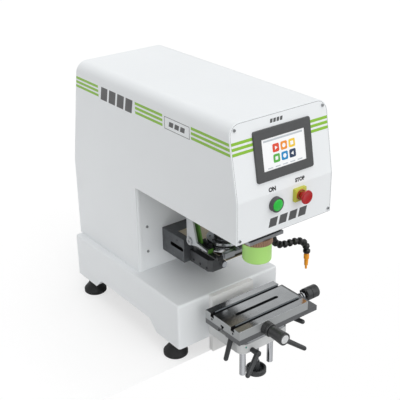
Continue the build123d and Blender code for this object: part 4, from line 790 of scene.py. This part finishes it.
# Picture on the touch screen: plain coloured keys
screen_centre = leaning_face @ move(0.001, 0.077, 0.003)
key_colours = (srgb(226, 78, 52), srgb(242, 146, 40), srgb(244, 204, 62),
               srgb(92, 178, 72), srgb(28, 140, 200), srgb(44, 62, 92))
key_size = 0.0165
key_pitch = 0.0205
keys_down = 0.001


def screen_ink(name, colour):
    """A colour shown by the screen."""
    return moulded(name, colour, 0.14, 0.004, 0.000004, 0.02)


def key_middle(index):
    """The middle of a key on the screen, counted along two rows of three."""
    column, row = index % 3, index // 3
    return ((column - 1) * key_pitch, (0.5 - row) * key_pitch - keys_down)


for index, colour in enumerate(key_colours):
    ink = screen_ink("screen_key_colour_%d" % (index + 1), colour)
    mesh = bmesh.new()
    add_slab(mesh, rounded(key_size, key_size, 0.003, 6, key_middle(index)), screen_centre)
    finished("screen_key_%d" % (index + 1), mesh, ink, "machine")
mesh = bmesh.new()
for index in range(len(key_colours)):
    at = key_middle(index)
    shape = (
        disc(0.0044, 3, at), disc(0.0042, 28, at), rounded(0.0075, 0.0075, 0.0008, 3, at),
        disc(0.0048, 4, at, math.pi / 4), disc(0.0046, 6, at), disc(0.0045, 3, at, math.pi),
    )[index]
    add_slab(mesh, shape, screen_centre, film, 2 * film)
finished("screen_key_signs", mesh, screen_white, "machine")
title_bar, title_level = (0.100, 0.0035, 0.001), 0.0262  # width, height, corner
foot_bar, foot_level, foot_pitch = (0.013, 0.0022, 0.0008), -0.0272, 0.019
mesh = bmesh.new()
add_slab(mesh, rounded(*title_bar, 3, (0, title_level)), screen_centre)
for index in range(-2, 3):
    add_slab(mesh, rounded(*foot_bar, 3, (index * foot_pitch, foot_level)), screen_centre)
bar_ink = screen_ink("screen_bar_colour", srgb(196, 202, 208))
finished("screen_bars", mesh, bar_ink, "machine")

# Printing pad: a smooth cast body in place of the plain solid
pad_low, pad_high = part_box("printing_pad")
pad_radius = (pad_high.x - pad_low.x) / 2
pad_centre = Vector(((pad_low.x + pad_high.x) / 2, (pad_low.y + pad_high.y) / 2, pad_low.z))
pad_height = pad_high.z - pad_low.z
crown, edge = 0.0004, 0.004
pad_top_edge = 0.0006
flat_radius = pad_radius - edge
profile = [(0, 0)]
for step in range(1, 9):
    radius = flat_radius * step / 8
    profile.append((radius, crown * (radius / flat_radius) ** 2))
for step in range(1, 11):
    turn = math.radians(9 * step)
    profile.append((flat_radius + edge * math.sin(turn), crown + edge * (1 - math.cos(turn))))
profile += [(pad_radius, pad_height - 0.004), (pad_radius, pad_height - pad_top_edge),
            (pad_radius - pad_top_edge, pad_height), (0, pad_height)]
mesh = bmesh.new()
add_turned(mesh, profile, Matrix.Translation(pad_centre), 96)
pad = finished("silicone_pad", mesh, silicone, "pad_ram", 0.9)
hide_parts("printing_pad")

# Buttons: turned rings, caps and heads in place of the plainer solids
switch_radius = 0.011
switch_depth = 0.028
stem_bore = 0.0064
start_at = front_face @ move(-0.029, 0.427)
ring_radius, ring_rise, ring_bore, ring_floor = 0.0155, 0.0095, 0.01255, 0.0012
mesh = bmesh.new()
add_ring(mesh, [
    (switch_radius, -switch_depth), (switch_radius, 0), (ring_radius, 0),
    (ring_radius, ring_rise - 0.0009), (ring_radius - 0.0007, ring_rise - 0.0002),
    (ring_radius - 0.0014, ring_rise), (ring_bore + 0.0005, ring_rise),
    (ring_bore, ring_rise - 0.0005), (ring_bore, ring_floor),
    (stem_bore, ring_floor), (stem_bore, -switch_depth),
], start_at)
start_ring = finished("start_ring", mesh, panel_black, "machine")
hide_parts("start_button_ring")

cap_radius, cap_back, cap_stem = 0.0122, 0.0062, 0.006
button_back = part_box("start_button")[1].y
mesh = bmesh.new()
add_turned(mesh, [
    (0, -button_back), (cap_stem, -button_back), (cap_stem, cap_back), (cap_radius, cap_back),
    (cap_radius, ring_rise - 0.0004), (cap_radius - 0.0003, ring_rise + 0.0003),
    (cap_radius - 0.0010, ring_rise + 0.0008), (cap_radius * 0.6, ring_rise + 0.0011),
    (0, ring_rise + 0.0012),
], start_at)
start_cap = finished("start_cap", mesh, green_cap, "green_start_button")
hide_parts("start_button")

stop_at = front_face @ move(0.033, 0.431)
plate_size, plate_rise, plate_bevel = (0.0306, 0.0276), 0.007, 0.0006
switch_body = [(0, -switch_depth), (switch_radius, -switch_depth), (switch_radius, 0), (0, 0)]
mesh = bmesh.new()
add_turned(mesh, switch_body, stop_at)
add_layers(mesh, [
    (0, rounded(*plate_size, 0.0016)),
    (plate_rise - plate_bevel, rounded(*plate_size, 0.0016)),
    (plate_rise, rounded(plate_size[0] - 2 * plate_bevel, plate_size[1] - 2 * plate_bevel, 0.0012)),
], stop_at)
stop_base = finished("stop_base", mesh, yellow_plate, "machine", 0.9)
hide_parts("stop_plate")

collar_bore, collar_radius, collar_rise = 0.0093, 0.0110, 0.0018
mesh = bmesh.new()
add_ring(mesh, [
    (collar_bore, plate_rise), (collar_radius, plate_rise), (collar_radius, plate_rise + 0.0013),
    (0.0106, plate_rise + collar_rise), (collar_bore, plate_rise + collar_rise),
], stop_at)
finished("stop_collar", mesh, red_head, "machine")

head_back, head_face, head_radius = 0.0113, 0.0257, 0.0145
mesh = bmesh.new()
add_turned(mesh, [
    (0, head_back), (0.0086, head_back), (0.0093, head_back + 0.0022),
    (0.0112, head_back + 0.0066), (0.0133, head_back + 0.0103),
    (head_radius, head_back + 0.0118), (head_radius, head_face - 0.0014),
    (head_radius - 0.0006, head_face - 0.0004), (head_radius - 0.0018, head_face),
    (head_radius * 0.72, head_face - 0.0003), (head_radius * 0.4, head_face - 0.0008),
    (0, head_face - 0.0009),
], stop_at, 64)
stop_head = finished("stop_head", mesh, red_head, "stop_mushroom", 0.5)
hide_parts("stop_knob")

# Knobs of the two table screws, each along the way that it points
knob_low, knob_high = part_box("x_knob")
x_axis_at = (0, (knob_low.y + knob_high.y) / 2, (knob_low.z + knob_high.z) / 2)
x_knob_at = facing(x_axis_at, (0, 1, 0), (0, 0, 1))
x_radius, x_back, x_end = 0.015, knob_low.x, knob_high.x
x_grip_from, x_groove = x_back + 0.0030, x_back + 0.0160
screw_bore, screw_bore_end = 0.0032, x_back + 0.0192
mesh = bmesh.new()
add_ring(mesh, [
    (screw_bore, x_grip_from), (x_radius - 0.0006, x_grip_from), (x_radius, x_grip_from + 0.0006),
    (x_radius, x_groove), (x_radius - 0.0008, x_groove + 0.0002),
    (x_radius - 0.0008, x_groove + 0.0015), (x_radius, x_groove + 0.0017),
    (x_radius, x_end - 0.0016), (x_radius - 0.0005, x_end - 0.0006), (x_radius - 0.0014, x_end),
    (0, x_end), (0, x_end - 0.0005), (0, screw_bore_end), (screw_bore, screw_bore_end),
], x_knob_at, 64)
cross_knob = finished("cross_knob_grip", mesh, knob_metal, "cross_screw", 0.5)
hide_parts("x_knob")

star_layers = (  # level, hollow radius and reach of the lobes
    (x_back, 0.0112, 0.0030), (x_back + 0.0004, 0.0118, 0.0032),
    (x_back + 0.0024, 0.0118, 0.0032), (x_back + 0.0029, 0.0110, 0.0030),
)
star = [(level, lobed(hollow, reach, 5, 0.5)) for level, hollow, reach in star_layers]
mesh = bmesh.new()
add_layers(mesh, star, x_knob_at)
finished("cross_knob_star", mesh, flange_black, "cross_screw", 0.5)

knob_low, knob_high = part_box("y_knob")
y_axis_at = ((knob_low.x + knob_high.x) / 2, 0, (knob_low.z + knob_high.z) / 2)
y_knob_at = facing(y_axis_at, (1, 0, 0), (0, 0, 1))
y_radius, y_back, y_end = 0.015, -knob_high.y, 0.0362
dial_groove, dial_end, grip_from = y_back + 0.0112, y_back + 0.0176, y_back + 0.0194
cap_recess = 0.0011
mesh = bmesh.new()
add_turned(mesh, [
    (0, y_back), (y_radius - 0.0006, y_back), (y_radius, y_back + 0.0006), (y_radius, dial_groove),
    (y_radius - 0.0011, dial_groove + 0.0003), (y_radius - 0.0011, dial_groove + 0.0013),
    (y_radius - 0.0002, dial_groove + 0.0016), (y_radius - 0.0002, dial_end - 0.0007),
    (y_radius - 0.0010, dial_end), (0.0104, dial_end), (0.0104, grip_from), (0.0121, grip_from),
    (0.0126, grip_from + 0.0006), (0.0127, grip_from + 0.0090), (0.0131, grip_from + 0.0200),
    (0.0140, y_end - 0.0060), (0.0142, y_end - 0.0020), (0.0138, y_end - 0.0006), (0.0128, y_end),
    (0.0106, y_end), (0.0102, y_end - cap_recess), (0, y_end - cap_recess),
], y_knob_at, 64)
table_knob = finished("table_knob_grip", mesh, knob_black, "table_screw", 0.4)
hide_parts("y_knob")

mesh = bmesh.new()
add_turned(mesh, [
    (0, y_end - cap_recess), (knob_cap, y_end - cap_recess), (knob_cap, y_end - 0.0003),
    (knob_cap - 0.0006, y_end + 0.0002), (0, y_end + 0.0004),
], y_knob_at)
finished("table_knob_cap", mesh, cap_grey, "table_screw")

# Table: the solid's shape with wider necks to its T-slots and a wider middle slot
mesh = bmesh.new()
neck_cut = (2.2 * table_end, slot_neck, 2 * slot_neck_depth)  # past both ends and the top
for middle in slot_middles:
    cut_place = Matrix.LocRotScale((0, middle, table_top), None, neck_cut)
    bmesh.ops.create_cube(mesh, size=1, matrix=cut_place)
centre_outline = rounded(2 * centre_slot_end, centre_slot, centre_slot / 2 - 0.0001)
centre_place = move(0, table_middle, table_top)
add_slab(mesh, centre_outline, centre_place, -centre_slot_depth, centre_slot_depth)
bmesh.ops.recalc_face_normals(mesh, faces=mesh.faces)
cutter = linked("slot_cutter", mesh_data("slot_cutter", mesh))
draft = linked("table_draft", nodes["table_plate"].data.copy())
cut = draft.modifiers.new("slots", "BOOLEAN")
cut.operation = "DIFFERENCE"
cut.solver = "EXACT"
cut.object = cutter
table_data = evaluated_mesh(draft)
bpy.data.objects.remove(cutter)
dress(table_data, ground_steel)
table_piece = linked("table_top_plate", table_data)
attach(table_piece, "work_table")
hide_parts("table_plate")

# Cup arm: the solid's shape with flatter pivot bosses
cup_arm_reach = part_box("cup_arm")[1].x
arm_data = nodes["cup_arm"].data.copy()
boss_scale = boss_rise / (cup_arm_reach - arm_face)
for vertex in arm_data.vertices:
    proud = abs(vertex.co.x) - arm_face
    if proud > 0:
        vertex.co.x = math.copysign(arm_face + proud * boss_scale, vertex.co.x)
arm_piece = linked("cup_arm_plates", arm_data)
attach(arm_piece, "pad_carriage")
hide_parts("cup_arm")

# Cover screws: button heads with hexagon sockets in place of the plain heads
cover_screw = (0.0065, 0.0025, 0.003, 0.55)  # head, height, socket, dome
front_screws = [leaning_face @ move(x, 0.140) for x in (-0.112, 0.112)]
front_screws += [front_face @ move(x, 0.3735) for x in (-0.1175, 0.1175)]
column_face = facing((0, 0.349, 0), (1, 0, 0), (0, 0, 1))
rear_plane = facing((0, rear_face, 0), (-1, 0, 0), (0, 0, 1))
column_screws = [column_face @ move(x, z) for x in (-0.0995, 0.0995) for z in (0.199, 0.262, 0.348)]
rear_screws = [rear_plane @ move(x, z) for x in (-0.112, 0.112) for z in (0.165, 0.25, 0.335)]
mesh = bmesh.new()
for place in front_screws + column_screws + rear_screws:
    add_screw(mesh, place, *cover_screw)
screws = finished("cover_screw_heads", mesh, zinc, "machine", 0.5)
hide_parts("cover_screws")

# Seam between the wrap and the front panel
panel_half = 0.1228
panel_low = -0.0863
panel_high = 0.1504
panel_round = 0.0238
seam_half = 0.0003
seam_proud, seam_deep = 0.00004, -0.0002


def front_point(across, up, out):
    """A point on the front, up from the bend, out from the surface."""
    if up > 0:
        return leaning_face @ Vector((across, up, out))
    return front_face @ Vector((across, hood_bend + up, out))


def seam_outline(grow):
    """Outline of the front panel, as (across, up) points, grown by a small amount."""
    half, low, high = panel_half + grow, panel_low - grow, panel_high + grow
    radius = panel_round + grow
    right = [(half, low), (half, 0), (half, high - radius)]
    for step in range(1, 9):
        turn = math.radians(90 * step / 8)
        right.append((half - radius * (1 - math.cos(turn)), high - radius * (1 - math.sin(turn))))
    return right + [(-across, up) for across, up in reversed(right)]


mesh = bmesh.new()
loops = []
for grow, out in ((seam_half, seam_proud), (seam_half, seam_deep),
                  (-seam_half, seam_deep), (-seam_half, seam_proud)):
    points = [front_point(across, up, out) for across, up in seam_outline(grow)]
    loops.append([mesh.verts.new(point) for point in points])
add_walls(mesh, loops + loops[:1])
finished("panel_seam", mesh, seam_grey, "machine")

# Small fixings: washers and screws of the ink unit, mark on the bracket
washer_bore, washer_radius, washer_rise = 0.0035, 0.0078, 0.0005
yoke_screw = (0.0045, 0.0016, 0.002)  # head, height, socket
yoke_screw_ys, yoke_screw_level = (0.192, 0.228), 0.2545
mark_radius, mark_at = 0.0021, (-0.0555, 0.05, 0.0765)
mesh = bmesh.new()
for side in (-1, 1):
    face = facing((side * (arm_face + boss_rise), *pivot_middle), (0, side, 0), (0, 0, 1))
    add_washer(mesh, face, washer_bore, washer_radius, washer_rise)
finished("arm_washers", mesh, zinc, "pad_carriage")

mesh = bmesh.new()
for side in (-1, 1):
    face = facing((side * yoke_face, 0, 0), (0, side, 0), (0, 0, 1))
    for y in yoke_screw_ys:
        add_screw(mesh, face @ move(side * y, yoke_screw_level), *yoke_screw)
finished("yoke_screws", mesh, zinc, "pad_carriage", 0.5)

mesh = bmesh.new()
add_slab(mesh, disc(mark_radius, 20), facing(mark_at, (1, 0, 0), (0, 0, 1)))
finished("bracket_mark", mesh, teal_mark, "machine")

# Stage: a pale bench top that ends in front of the feet, as the table hangs past it
bench_edge = 0.176
bench_half_width = 4
bench_back = 6
bench_glow = 1.08
glow_share = 0.6  # how much of the bench that the camera sees is plain white
bench = Surface("bench_white", Base_Color=(0.93, 0.93, 0.93, 1.0), Roughness=0.7)
bench.feed("Roughness", bench.spread(bench.noise(0.05), 0.65, 0.75))
light_path = bench.node("LightPath").outputs["Is Camera Ray"]
glow = bench.node("Emission", {"Color": (1, 1, 1, 1), "Strength": bench_glow}).outputs[0]
share = bench.maths("MULTIPLY", light_path, glow_share)
bench_mix = bench.node("MixShader", {0: share, 1: bench.shader.outputs[0], 2: glow}).outputs[0]
bench.tree.links.new(bench_mix, bench.tree.nodes["Material Output"].inputs["Surface"])
mesh = bmesh.new()
mesh.faces.new([
    mesh.verts.new((x, y, 0)) for x, y in
    ((-bench_half_width, bench_edge), (bench_half_width, bench_edge),
     (bench_half_width, bench_back), (-bench_half_width, bench_back))
])
floor_data = mesh_data("bench_top", mesh)
dress(floor_data, bench)
floor = linked("bench_top", floor_data)

# World: even light for the object, white behind it, soft bright and dark bands for gloss
world = bpy.data.worlds.new("studio")
bpy.context.scene.world = world
world.use_nodes = True
world.node_tree.nodes.clear()


def world_node(kind, inputs=None, **settings):
    """Add a node to the world."""
    return add_node(world.node_tree, kind, inputs, **settings)


def white_light(strength):
    """White light of the given strength from all round."""
    return world_node("Background", {"Color": (1, 1, 1, 1), "Strength": strength}).outputs[0]


def either_light(factor, first, second):
    """The second light where the factor is 1, else the first."""
    return world_node("MixShader", {0: factor, 1: first, 2: second}).outputs[0]


even_light = 0.555
gloss_low, gloss_high = 0.25, 1.15
direction = world_node("TexCoord").outputs["Generated"]
bands = world_node("TexNoise", {"Vector": direction, "Scale": 1.6, "Detail": 1.0}).outputs[0]
studio = world_node("MapRange", {"Value": bands, "From Min": 0.4, "From Max": 0.6,
                                 "To Min": gloss_low, "To Max": gloss_high}).outputs[0]
path = world_node("LightPath").outputs
glossy_light = white_light(studio)
plain_light = white_light(even_light)
white_back = white_light(1.0)
lit = either_light(path["Is Glossy Ray"], plain_light, glossy_light)
seen = world_node("Math", {0: path["Is Camera Ray"], 1: path["Is Transmission Ray"]},
                  operation="MAXIMUM").outputs[0]
world_node("OutputWorld", {"Surface": either_light(seen, lit, white_back)})

# A broad key light from above and a broad fill from the front, as name, energy, spread, direction
for name, energy, spread, towards in (
    ("key", 1.29, 60, (0.17, -0.30, 0.94)),
    ("fill", 0.80, 50, (-0.10, -0.94, 0.32)),
):
    light = bpy.data.lights.new(name, "SUN")
    light.energy = energy
    light.angle = math.radians(spread)
    lamp = linked(name, light)
    lamp.rotation_euler = Vector(towards).to_track_quat("Z", "Y").to_euler()

# Camera
back = Vector((
    math.sin(camera_azimuth) * math.cos(camera_elevation),
    -math.cos(camera_azimuth) * math.cos(camera_elevation),
    math.sin(camera_elevation),
))
level_right = (-back).cross(Vector((0, 0, 1))).normalized()
level_up = level_right.cross(-back)
right = math.cos(camera_roll) * level_right + math.sin(camera_roll) * level_up
up = -math.sin(camera_roll) * level_right + math.cos(camera_roll) * level_up
camera_data = bpy.data.cameras.new("camera")
camera_data.lens = camera_lens
camera_data.sensor_width = camera_sensor
camera_data.shift_x, camera_data.shift_y = camera_shift
camera = linked("camera", camera_data)
camera.matrix_world = Matrix((right, up, back)).transposed().to_4x4()
camera.location = camera_place
bpy.context.scene.camera = camera
bpy.context.scene.view_settings.view_transform = "Standard"
